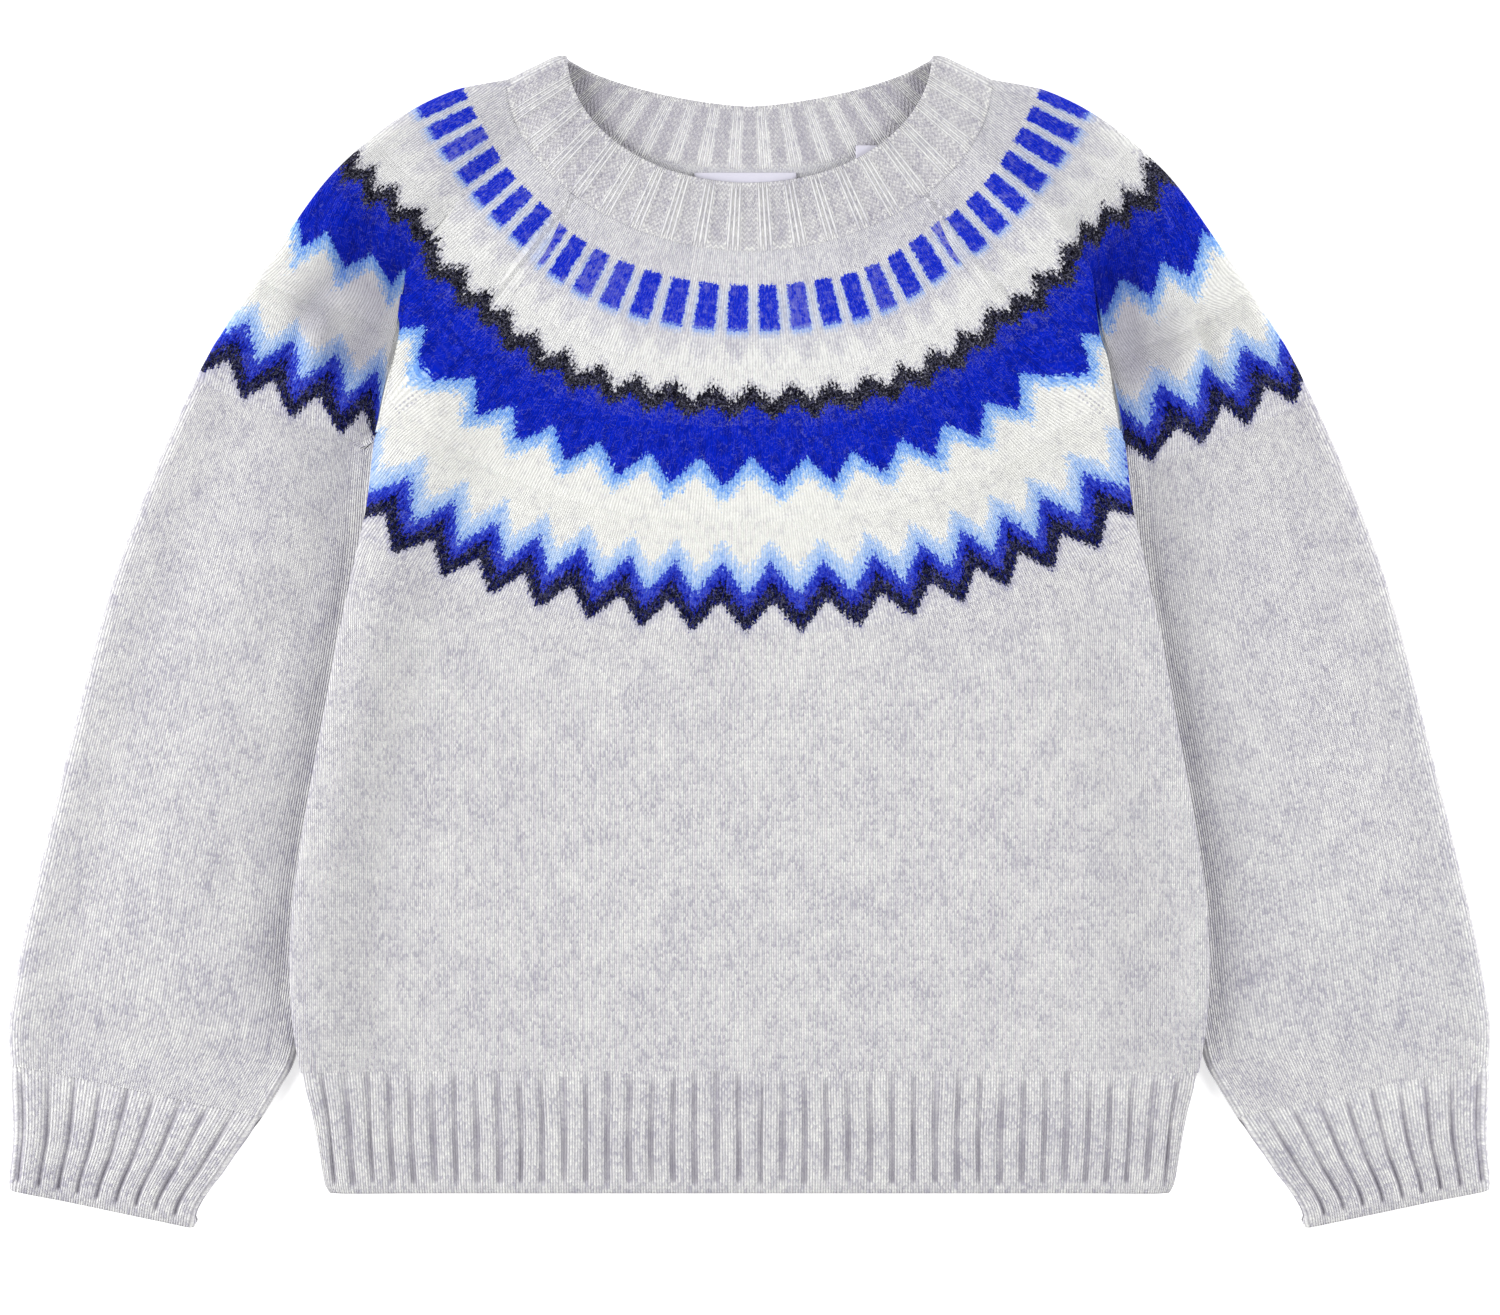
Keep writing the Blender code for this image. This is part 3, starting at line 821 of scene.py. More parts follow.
class Term:
    """A number in a material, which takes part in sums, products and comparisons."""

    def __init__(self, shading: "Shading", socket: bpy.types.NodeSocket | float) -> None:
        """Wraps a socket or a plain number.

        Args:
            shading: the material that the number belongs to.
            socket: the socket or number.
        """
        self.shading = shading
        self.socket = socket

    def math(self, operation: str, *others: "Term | float") -> "Term":
        """Adds a Math node on this number and others."""
        sockets = [o.socket if isinstance(o, Term) else o for o in (self, *others)]
        node = self.shading.add("ShaderNodeMath", {"operation": operation}, dict(enumerate(sockets)))
        return Term(self.shading, node.outputs[0])

    def __rsub__(self, other: float) -> "Term":
        """A number less this one."""
        return Term(self.shading, other) - self

    __add__ = __radd__ = operator("ADD")
    __mul__ = __rmul__ = operator("MULTIPLY")
    __sub__ = operator("SUBTRACT")
    __truediv__ = operator("DIVIDE")
    __gt__ = operator("GREATER_THAN")
    __lt__ = operator("LESS_THAN")
    fract = operator("FRACT")
    floor = operator("FLOOR")
    abs = operator("ABSOLUTE")

    def ramp(self, low: float, high: float, start: float = 0.0, end: float = 1.0) -> "Term":
        """Goes smoothly from start to end as this number goes from low to high."""
        node = self.shading.add(
            "ShaderNodeMapRange",
            {"interpolation_type": "SMOOTHSTEP"},
            {"Value": self.socket, "From Min": low, "From Max": high, "To Min": start, "To Max": end},
        )
        return Term(self.shading, node.outputs[0])


class Shading:
    """Builds the nodes of one material."""

    def __init__(self, name: str) -> None:
        """Starts a material.

        Args:
            name: its name.
        """
        self.material = bpy.data.materials.new(name)
        self.material.use_nodes = True
        self.tree = self.material.node_tree
        self.shader = self.tree.nodes["Principled BSDF"]

    def add(self, kind: str, settings: dict | None = None, inputs: dict | None = None) -> bpy.types.Node:
        """Adds a node.

        Args:
            kind: the node's type.
            settings: properties to set first.
            inputs: values or links of its sockets, by name or number.

        Returns:
            The node.
        """
        node = self.tree.nodes.new(kind)
        for key, value in (settings or {}).items():
            setattr(node, key, value)
        for key, value in (inputs or {}).items():
            if isinstance(value, bpy.types.NodeSocket):
                self.tree.links.new(value, node.inputs[key])
            else:
                node.inputs[key].default_value = value
        return node

    def values(self, name: str) -> tuple[Term, Term, Term]:
        """The three values of a piece's own attribute."""
        node = self.add("ShaderNodeAttribute", {"attribute_name": name})
        parts = self.add("ShaderNodeSeparateXYZ", None, {0: node.outputs["Vector"]})
        return tuple(Term(self, out) for out in parts.outputs)

    def place(self) -> bpy.types.NodeSocket:
        """The place on the piece, in metres."""
        return self.add("ShaderNodeTexCoord").outputs["Object"]

    def noise(
        self, scale: float, detail: float = 2.0, offset: Vector3 = (0, 0, 0), stretch: float = 1.0
    ) -> tuple[Term, Term, Term]:
        """Three noises of a size over the piece, each about 0.5.

        Args:
            scale: swells in a metre.
            detail: how many finer octaves it has.
            offset: where the noise is read.
            stretch: how many times longer it is up the body.

        Returns:
            The three noises.
        """
        where = self.add(
            "ShaderNodeMapping",
            None,
            {"Vector": self.place(), "Location": offset, "Scale": (1, 1 / stretch, 1)},
        )
        node = self.add(
            "ShaderNodeTexNoise",
            None,
            {"Vector": where.outputs[0], "Scale": scale, "Detail": detail, "Roughness": 0.6},
        )
        parts = self.add("ShaderNodeSeparateColor", None, {0: node.outputs["Color"]})
        return tuple(Term(self, out) for out in parts.outputs)

    def flat(self, across: Term, run: Term) -> bpy.types.NodeSocket:
        """A place counted in stitches and rows."""
        return self.add("ShaderNodeCombineXYZ", None, {0: across.socket, 1: run.socket}).outputs[0]

    def dice(self, across: Term, run: Term) -> Term:
        """A number from 0 to 1 that is thrown anew for each pair of whole numbers."""
        node = self.add(
            "ShaderNodeTexWhiteNoise",
            {"noise_dimensions": "2D"},
            {"Vector": self.flat(across.floor(), run.floor())},
        )
        return Term(self, node.outputs["Value"])

    def strands(self, across: Term, run: Term, detail: float = 2.0) -> Term:
        """A noise about 0.5 whose swells are as long as the counts that it is given."""
        node = self.add(
            "ShaderNodeTexNoise",
            {"noise_dimensions": "2D"},
            {"Vector": self.flat(across, run), "Scale": 1.0, "Detail": detail, "Roughness": 0.65},
        )
        return Term(self, node.outputs["Fac"])

    def hairs(self, scale: float, offset: Vector3, width: float) -> Term:
        """Loose curled hairs: 1 on thin lines where a noise crosses its middle.

        Args:
            scale: curls in a metre.
            offset: where the noise is read.
            width: how wide the hairs are, as a share of the noise's height.

        Returns:
            The hairs.
        """
        where = self.add("ShaderNodeMapping", None, {"Vector": self.place(), "Location": offset})
        node = self.add(
            "ShaderNodeTexNoise",
            None,
            {"Vector": where.outputs[0], "Scale": scale, "Detail": 1.0, "Distortion": 1.4},
        )
        return (Term(self, node.outputs["Fac"]) - 0.5).abs().ramp(width * 0.4, width, 1.0, 0.0)

    def mix(
        self,
        share: Term | float,
        first: bpy.types.NodeSocket | Vector3,
        second: bpy.types.NodeSocket | Vector3,
        blend: str = "MIX",
    ) -> bpy.types.NodeSocket:
        """Mixes two colours.

        Args:
            share: how much of the second.
            first: the first colour.
            second: the second colour.
            blend: how they mix.

        Returns:
            The mixed colour.
        """
        node = self.add("ShaderNodeMix", {"data_type": "RGBA", "blend_type": blend})
        factor = share.socket if isinstance(share, Term) else share
        for at, value in ((0, factor), (6, first), (7, second)):
            if isinstance(value, bpy.types.NodeSocket):
                self.tree.links.new(value, node.inputs[at])
            elif at == 0:
                node.inputs[at].default_value = value
            else:
                node.inputs[at].default_value = (*value, 1.0)
        return node.outputs[2]

    def finish(
        self,
        color: bpy.types.NodeSocket,
        height: Term | None,
        depth: float,
        settings: dict[str, float | tuple],
    ) -> bpy.types.Material:
        """Connects the shader.

        Args:
            color: the base colour.
            height: the relief, between about 0 and 1.
            depth: how deep the relief is, in metres.
            settings: values of the shader's own sockets.

        Returns:
            The finished material.
        """
        self.tree.links.new(color, self.shader.inputs["Base Color"])
        if height is not None:
            bump = self.add(
                "ShaderNodeBump", None, {"Strength": 1.0, "Distance": depth, "Height": height.socket}
            )
            self.tree.links.new(bump.outputs[0], self.shader.inputs["Normal"])
        for key, value in settings.items():
            self.shader.inputs[key].default_value = value
        return self.material


STUDIO_LIGHT = 1.12  # how brightly the studio lights a white sheet


def wool(red: int, green: int, blue: int) -> Vector3:
    """A yarn's colour from the display values that it shows in the studio's light."""

    def linear(v: float) -> float:
        """One channel."""
        v /= 255
        return (v / 12.92 if v <= 0.04045 else ((v + 0.055) / 1.055) ** 2.4) / STUDIO_LIGHT

    return linear(red), linear(green), linear(blue)


def stitches(shade: Shading, wale: Term, course: Term) -> tuple[Term, Term]:
    """The relief of plain knit, two slanted legs for each stitch, and a throw of each leg.

    Args:
        shade: the material.
        wale: the place across, in stitches.
        course: the place along, in rows.

    Returns:
        The relief, from 0 in the gaps to 1 on the legs, and a number thrown for each leg.
    """
    row = course + (wale.fract() - 0.5).abs() * 1.1
    legs = ((wale * 2).fract() * math.pi).math("SINE").math("POWER", 0.7)
    loops = (row * (2 * math.pi)).math("SINE") * 0.15 + 0.85
    between = (wale.fract() - 0.5).abs().ramp(0.28, 0.50, 1.0, 0.45)
    return legs * loops * between, shade.dice(wale * 2, row)


# ------------------------------------------------------------------ finishes


@dataclass(frozen=True)
class Heather:
    """The brushed heather grey that most of the sweater is knitted in."""

    light: Vector3 = wool(250, 250, 246)
    middle: Vector3 = wool(229, 228, 229)
    dark: Vector3 = wool(191, 189, 200)
    # painted shade in the gaps between the stitches' legs
    cavity_shade: Vector3 = wool(142, 139, 151)

    def color(self, shade: Shading, relief: Term, thrown: Term) -> bpy.types.NodeSocket:
        """The grey's colour over a piece.

        Args:
            shade: the material.
            relief: the stitches' relief.
            thrown: the number thrown for each leg.

        Returns:
            The colour.
        """
        cloud = shade.noise(70, 2)
        patch = shade.noise(210, 3, (3.1, 1.7, 0.4), 1.7)
        speck = shade.noise(1150, 2, (7.7, 0.3, 2.9), 1.7)
        tone = (
            (patch[0] - 0.5) * 0.44
            + (cloud[0] - 0.5) * 0.60
            + (thrown - 0.5) * 0.46
            + (speck[0] - 0.5) * 0.78
            + 0.50
        )
        base = shade.mix(tone.ramp(0.10, 0.54), self.dark, self.middle)
        base = shade.mix(tone.ramp(0.46, 0.92), base, self.light)
        # painted shade: the grey darkened where the stitches' relief is low
        return shade.mix((1 - relief) * 0.60, base, self.cavity_shade)


class Zigzag(NamedTuple):
    """A zigzag round: its period and first peak in degrees, and its stitches."""

    period: float
    peak: float
    stitches: int


class Edge(NamedTuple):
    """Where one colour ends: its ring at the zigzag's peaks and valleys, and its fuzz.

    The yarn goes from its outer tone at this edge to its inner tone nearer the neck.
    """

    zigzag: str
    peak: float
    valley: float
    fuzz: float
    outer: str
    inner: str


@dataclass
class Worked:
    """The knit that the yoke's rounds are worked in, with its loose yarn.

    Attributes:
        shade: the material.
        grey: the grey's colour.
        turn: the place round the yoke, in degrees.
        ring: the place out from its centre, in millimetres.
        dashes: the turn that the round of dashes follows.
        stitch: the place round the yoke, in stitches.
        relief: the stitches' relief.
        thrown: the number thrown for each leg.
        row: the height of a row, in millimetres.
    """

    shade: Shading
    grey: bpy.types.NodeSocket
    turn: Term
    ring: Term
    dashes: Term
    stitch: Term
    relief: Term
    thrown: Term
    row: float

    def __post_init__(self) -> None:
        """Adds the loose yarn, and the places that follow it and the stitches."""
        self.tuft = self.shade.strands(self.stitch * 2.6, self.ring * 0.42, 3.0)
        self.drift = self.shade.strands(self.stitch * 0.9, self.ring * 0.35, 2.0)
        self.grain = self.shade.noise(1150, 1.5, (4.4, 8.8, 1.3))[0]
        chevron = (self.stitch.fract() - 0.5).abs() * 0.9
        wavy = (self.ring + (self.drift - 0.5) * 1.2) / self.row
        stepped = ((wavy + chevron).floor() + 0.5) * self.row
        self.stepped = stepped * 0.6 + self.ring * 0.4
        self.loose_turn = self.turn + (self.tuft - 0.5) * 0.32
        self.loose_dashes = self.dashes + (self.tuft - 0.5) * 0.32

    def yarn(self, paint: Vector3) -> bpy.types.NodeSocket:
        """One coloured yarn with its stitches: painted shade in the gaps, lighter on some legs."""
        # painted shade for the gaps between legs
        deep = tuple(0.55 * v for v in paint)
        pale = tuple(v + (1 - v) * 0.014 for v in paint)
        color = self.shade.mix((1 - self.relief) * 0.45, paint, deep)
        return self.shade.mix(self.thrown.ramp(0.55, 1.0, 0.0, 0.60), color, pale)

    def zigzag(self, zigzag: Zigzag, turn: Term) -> Term:
        """Where a zigzag stands at a turn, from 0 at its peaks to 1 in its valleys."""
        share = (turn - zigzag.peak) * (1 / zigzag.period)
        counted = ((share * zigzag.stitches).floor() + 0.5) * (1 / zigzag.stitches)
        blended = counted * 0.65 + share * 0.35
        return 1 - (blended.fract() * 2 - 1).abs()


@dataclass(frozen=True)
class YokeKnit:
    """The knit of the body and sleeves, with the yoke's charted rounds."""

    royal: Vector3 = wool(4, 34, 192)
    deep_sky: Vector3 = wool(112, 162, 240)
    pale_sky: Vector3 = wool(178, 210, 248)
    mist: Vector3 = wool(146, 182, 240)
    pale_mist: Vector3 = wool(190, 213, 246)
    azure: Vector3 = wool(50, 72, 206)
    ultra: Vector3 = wool(20, 34, 172)
    navy: Vector3 = wool(8, 10, 36)
    night: Vector3 = wool(4, 16, 120)
    coal: Vector3 = wool(10, 9, 22)
    cream: Vector3 = wool(243, 243, 238)
    milk: Vector3 = wool(238, 238, 236)
    collar: Vector3 = wool(206, 206, 217)
    dash: Vector3 = wool(16, 42, 204)
    hair: Vector3 = wool(214, 216, 236)
    haze: Vector3 = wool(142, 142, 182)
    smear: Vector3 = wool(158, 156, 176)
    washed: Vector3 = wool(134, 136, 206)
    # painted shade colour, multiplied into the knit beside the body, at its rolled edge and in the
    # sleeves' folds
    painted_shadow: Vector3 = (0.44, 0.43, 0.52)
    zigzags: dict[str, Zigzag] = field(
        default_factory=lambda: {
            "low": Zigzag(4.45, 1.355, 10),
            "tooth": Zigzag(6.07, -0.18, 10),
            "top": Zigzag(5.50, -0.17, 8),
            "small": Zigzag(DASH_PERIOD, DASH_PEAK, 6),
        }
    )
    edges: tuple[Edge, ...] = (
        Edge("low", 251.2, 263.4, 1.5, "navy", "navy"),
        Edge("low", 243.0, 255.6, 3.0, "ultra", "azure"),
        Edge("low", 235.6, 248.4, 2.2, "mist", "pale_mist"),
        Edge("low", 227.2, 239.2, 2.8, "cream", "cream"),
        Edge("tooth", 201.2, 212.0, 2.8, "pale_sky", "deep_sky"),
        Edge("tooth", 193.2, 205.2, 1.6, "royal", "royal"),
        Edge("top", 172.6, 178.4, 2.4, "coal", "coal"),
        Edge("top", 164.4, 171.0, 2.6, "milk", "milk"),
        Edge("small", 147.4, 157.0, 3.0, "collar", "collar"),
    )
    dash_rings: tuple[float, float] = (124.8, 142.8)
    faded: tuple[tuple[float, float], ...] = (
        (-13.0, 0.35),
        (-8.0, 0.60),
        (-6.0, 0.36),
        (-5.0, 0.20),
        (1.0, 0.36),
        (4.0, 0.20),
        (7.0, 0.85),
    )
    densities: tuple[tuple[float, float], ...] = ((158.4, 1.147), (186.0, 1.4545), (219.2, 1.647))
    yoke_density: float = 2.247
    row: float = 1.42
    plain_from: float = 263.5
    dark_rings: tuple[tuple[float, float], ...] = ((166.0, 181.0), (246.0, 264.0))

    def build(self) -> bpy.types.Material:
        """Makes the finish.

        Returns:
            The material.
        """
        shade = Shading("yoke_knit")
        turn, ring, dashes = shade.values("ring")
        wale, course, painted_shade = shade.values("knit")
        density = Term(shade, self.yoke_density)
        for limit, count in reversed(self.densities):
            density = density + (ring < limit) * (count - self._outer(limit))
        stitch = turn * density
        plain = ring > self.plain_from
        wale_all = wale * plain + stitch * (1 - plain)
        course_all = course * plain + ring * (1 - plain) * (1 / self.row)
        relief, thrown = stitches(shade, wale_all, course_all)
        color = Heather().color(shade, relief, thrown)
        knit = Worked(shade, color, turn, ring, dashes, stitch, relief, thrown, self.row)
        color = self._haired(knit, self._dashed(knit, self._rounds(knit)))
        color = self._fashioned(shade, color)
        # painted shade: the knit field's third value darkens the colour
        color = shade.mix(painted_shade, color, self.painted_shadow, "MULTIPLY")
        fuzz = shade.noise(1100, 3, (2.2, 9.1, 4.4))
        return shade.finish(color, relief * 0.8 + fuzz[0] * 0.9, 0.0005, WOOL_SHADER)

    def _fashioned(self, shade: Shading, color: bpy.types.NodeSocket) -> bpy.types.NodeSocket:
        """The colour with two short rows of narrowing stitches beside each raglan seam."""
        start, end, pitch = (0.1406, 0.0906), (0.1314, 0.0978), 0.0021
        step = np.subtract(end, start)
        length = float(np.linalg.norm(step))
        way = step / length
        node = shade.add("ShaderNodeSeparateXYZ", None, {0: shade.place()})
        x = Term(shade, node.outputs[0]).abs() - start[0]
        y = Term(shade, node.outputs[1]) - start[1]
        run = x * way[0] + y * way[1]
        beside = (x * way[1] - y * way[0]).abs() - 0.5 * pitch
        within = ((run * (1 / pitch)).fract() - 0.5).abs() + (beside * (1 / pitch)).abs()
        dots = within.ramp(0.20, 0.42, 0.55, 0.0) * (run > 0) * (run < length)
        return shade.mix(dots, color, self.smear)

    def _rounds(self, knit: Worked) -> bpy.types.NodeSocket:
        """The zigzag rounds over the grey, from the outermost edge inwards."""
        masks = {
            name: knit.zigzag(zigzag, knit.loose_dashes if name == "small" else knit.loose_turn)
            for name, zigzag in self.zigzags.items()
        }
        limits = [
            masks[edge.zigzag] * (edge.valley - edge.peak) + edge.peak for edge in self.edges
        ]
        past = (knit.stepped - limits[0] + (knit.tuft - 0.5) * 5.0).ramp(0.0, 4.2, 0.42, 0.0)
        color = knit.shade.mix(past * knit.drift.ramp(0.3, 0.6, 0.3, 1.0), knit.grey, self.haze)
        loose = (knit.tuft - 0.5) * 3.4 + (knit.grain - 0.5) * 3.0 + (knit.thrown - 0.5) * 0.9
        for edge, limit in zip(self.edges, limits):
            gap = limit - knit.stepped + loose * edge.fuzz
            inside = gap.ramp(-edge.fuzz * 0.3, edge.fuzz * 0.3)
            color = knit.shade.mix(inside, color, self._painted(knit, edge, gap))
        return color

    def _painted(self, knit: Worked, edge: Edge, gap: Term) -> bpy.types.NodeSocket:
        """The yarn inside an edge, with what has worked its way into it.

        Args:
            knit: the knit.
            edge: the edge.
            gap: how far inside the edge a place is, in millimetres.

        Returns:
            The colour.
        """
        shade, tuft, drift, grain = knit.shade, knit.tuft, knit.drift, knit.grain
        paint = knit.yarn(getattr(self, edge.outer))
        if edge.inner != edge.outer:
            change = gap + (grain - 0.5) * 7.0 + (knit.thrown - 0.5) * 2.0
            paint = shade.mix(change.ramp(1.0, 6.4), paint, knit.yarn(getattr(self, edge.inner)))
        match edge.outer:
            case "coal":
                worn = (grain * 0.7 + tuft * 0.3).ramp(0.53, 0.66, 0.0, 0.34)
                return shade.mix(worn, paint, self.smear)
            case "navy":
                return shade.mix(tuft.ramp(0.50, 0.72, 0.0, 0.45), paint, self.ultra)
            case "royal":
                cloud = shade.strands(knit.stitch * 0.55, knit.ring * 0.13, 3.0)
                return shade.mix(cloud.ramp(0.42, 0.66, 0.0, 0.50), paint, self.night)
            case "milk":
                smear = (gap + (drift - 0.5) * 6.0 + (grain - 0.5) * 5.0).ramp(0.4, 4.2, 0.55, 0.0)
                tufts = shade.strands(knit.stitch * 1.5, knit.ring * 0.16, 3.0)
                tufts = tufts.ramp(0.46, 0.60, 0.0, 0.62) * gap.ramp(2.0, 12.0, 0.15, 1.0)
                return shade.mix(smear, shade.mix(tufts, paint, knit.grey), self.smear)
            case "cream":
                worked = shade.noise(240, 3, (8.1, 2.7, 1.4))[0]
                return shade.mix(worked.ramp(0.45, 0.72, 0.04, 0.52), paint, knit.grey)
            case "collar":
                return shade.mix(0.25, knit.grey, self.collar)
        return paint

    def _dashed(self, knit: Worked, color: bpy.types.NodeSocket) -> bpy.types.NodeSocket:
        """A colour with the round of dashes over it, each with a pale halo."""
        small, (low, high) = self.zigzags["small"], self.dash_rings
        grain = knit.grain - 0.5
        part = ((knit.loose_dashes - small.peak) * (1 / small.period)).fract() - 0.5
        run = knit.stepped + (knit.tuft - 0.5) * 3.0 + grain * 2.4
        ragged = grain * 0.18 + (knit.drift - 0.5) * 0.16
        beam = (part + ragged).abs().ramp(0.285, 0.355, 1.0, 0.0) * run.ramp(low - 0.7, low + 0.7)
        halo = (part + grain * 0.2).abs().ramp(0.30, 0.50, 0.40, 0.10)
        halo = halo * run.ramp(low - 1.0, low + 5.0) * run.ramp(high - 1.0, high + 3.0, 1.0, 0.0)
        glow = beam * run.ramp(high - 0.5, high + 4.2, 1.0, 0.0)
        color = knit.shade.mix(halo, color, self.deep_sky)
        color = knit.shade.mix(glow * 0.6, color, self.deep_sky)
        dash = knit.shade.mix(self._fading(knit, small), knit.yarn(self.dash), self.washed)
        return knit.shade.mix(beam * run.ramp(high - 0.8, high + 0.8, 1.0, 0.0), color, dash)

    def _fading(self, knit: Worked, small: Zigzag) -> Term:
        """How faded the dashes are, from 0 to 1."""
        washed = knit.shade.noise(330, 3, (5.2, 1.9, 6.1))[0]
        faded = (0.5 - knit.tuft).ramp(0.04, 0.2, 0.0, 0.35) + washed.ramp(0.50, 0.72, 0.0, 0.34)
        number = ((knit.dashes - small.peak) * (1 / small.period)).floor()
        for which, share in self.faded:
            faded = faded + ((number - which).abs() < 0.5) * knit.drift.ramp(0.35, 0.6, 0.0, share)
        return faded

    def _haired(self, knit: Worked, color: bpy.types.NodeSocket) -> bpy.types.NodeSocket:
        """A colour with loose pale hairs over the rounds, and more of them on the dark ones."""
        shade, ring = knit.shade, knit.ring
        bands = [(ring < high) * (ring > low) for low, high in self.dark_rings]
        dark = shade.hairs(420, (4.3, 2.1, 0.7), 0.035) * (bands[0] + bands[1])
        color = shade.mix(dark * 0.20, color, self.haze)
        coloured = (ring < self.dark_rings[-1][1]) * (ring > self.dash_rings[0])
        pale = shade.hairs(300, (0.3, 0.1, 0.2), 0.022) * coloured
        return shade.mix(pale * 0.07, color, self.hair)

    def _outer(self, limit: float) -> float:
        """The stitches in a degree just outside a ring where the knit decreases."""
        wider = [count for edge, count in self.densities if edge > limit]
        return wider[0] if wider else self.yoke_density


WOOL_SHADER = {
    "Roughness": 0.95,
    "Specular IOR Level": 0.04,
    "Sheen Weight": 0.015,
    "Sheen Roughness": 0.5,
    "Sheen Tint": (0.9, 0.92, 1.0, 1.0),
}


@dataclass(frozen=True)
class RibKnit:
    """The knit of the ribs, whose wales follow the ribs' own phase."""

    name: str
    wales: float = 4.0
    row: float = 1.35
    knit_half: float = 0.5
    # painted shade in the grooves between ribs, and a painted highlight on raised crests
    groove: Vector3 = wool(164, 160, 173)
    crest: Vector3 = wool(246, 246, 248)

    def build(self) -> bpy.types.Material:
        """Makes the finish.

        Returns:
            The material.
        """
        shade = Shading(self.name)
        phase, run, hollow = shade.values("rib")
        wale = phase * self.wales
        relief, thrown = stitches(shade, wale, run * (1 / self.row))
        if self.knit_half < 0.5:
            purl = (phase.fract() - 0.5).abs() > self.knit_half
            bend = (wale * (2 * math.pi)).math("COSINE") * 0.28
            ridges = ((run / self.row + bend) * (2 * math.pi)).math("SINE") * 0.34 + 0.5
            relief = relief * (1 - purl) + ridges * purl
        color = Heather().color(shade, relief, thrown)
        tuft = shade.strands(wale * 2.0, run * 0.6, 3.0)
        # painted shade in the grooves where the hollow field is above 0, painted highlight where it is
        # below 0
        depth = (hollow + (tuft - 0.5) * 1.2 * hollow).ramp(0.1, 0.9)
        color = shade.mix(depth * 0.66, color, self.groove)
        color = shade.mix((hollow * -1).ramp(0.0, 0.8, 0.0, 0.7), color, self.crest)
        fuzz = shade.noise(1200, 3, (2.2, 9.1, 4.4))
        return shade.finish(color, relief + fuzz[0] * 0.7, 0.0005, WOOL_SHADER)


@dataclass(frozen=True)
class WovenLabel:
    """The smooth blank tape of the labels."""

    tape: Vector3 = wool(214, 212, 225)
    weft: Vector3 = wool(208, 206, 222)

    def build(self) -> bpy.types.Material:
        """Makes the finish."""
        shade = Shading("label_cloth")
        grain = shade.noise(2600, 2)
        weave = shade.noise(500, 2, (1.0, 2.0, 3.0), 0.1)
        color = shade.mix(weave[0].ramp(0.3, 0.7, 0, 0.5), self.tape, self.weft)
        return shade.finish(
            color, grain[0], 0.0001, {"Roughness": 0.6, "Sheen Weight": 0.2, "Specular IOR Level": 0.3}
        )


@dataclass(frozen=True)
class PaleFloor:
    """The plain pale surface under the sweater."""

    color: Vector3 = (0.88, 0.88, 0.88)
    glow: float = 0.46

    def build(self) -> bpy.types.Material:
        """Makes the finish."""
        shade = Shading("pale_floor")
        drift = shade.noise(3, 2)
        color = shade.mix(drift[0].ramp(0.3, 0.7), self.color, tuple(0.99 * v for v in self.color))
        settings = {
            "Roughness": 0.9,
            "Specular IOR Level": 0.1,
            "Emission Color": (1.0, 1.0, 1.0, 1.0),
            "Emission Strength": self.glow,
        }
        return shade.finish(color, None, 0.0, settings)


# ------------------------------------------------------------------ the body and its hems


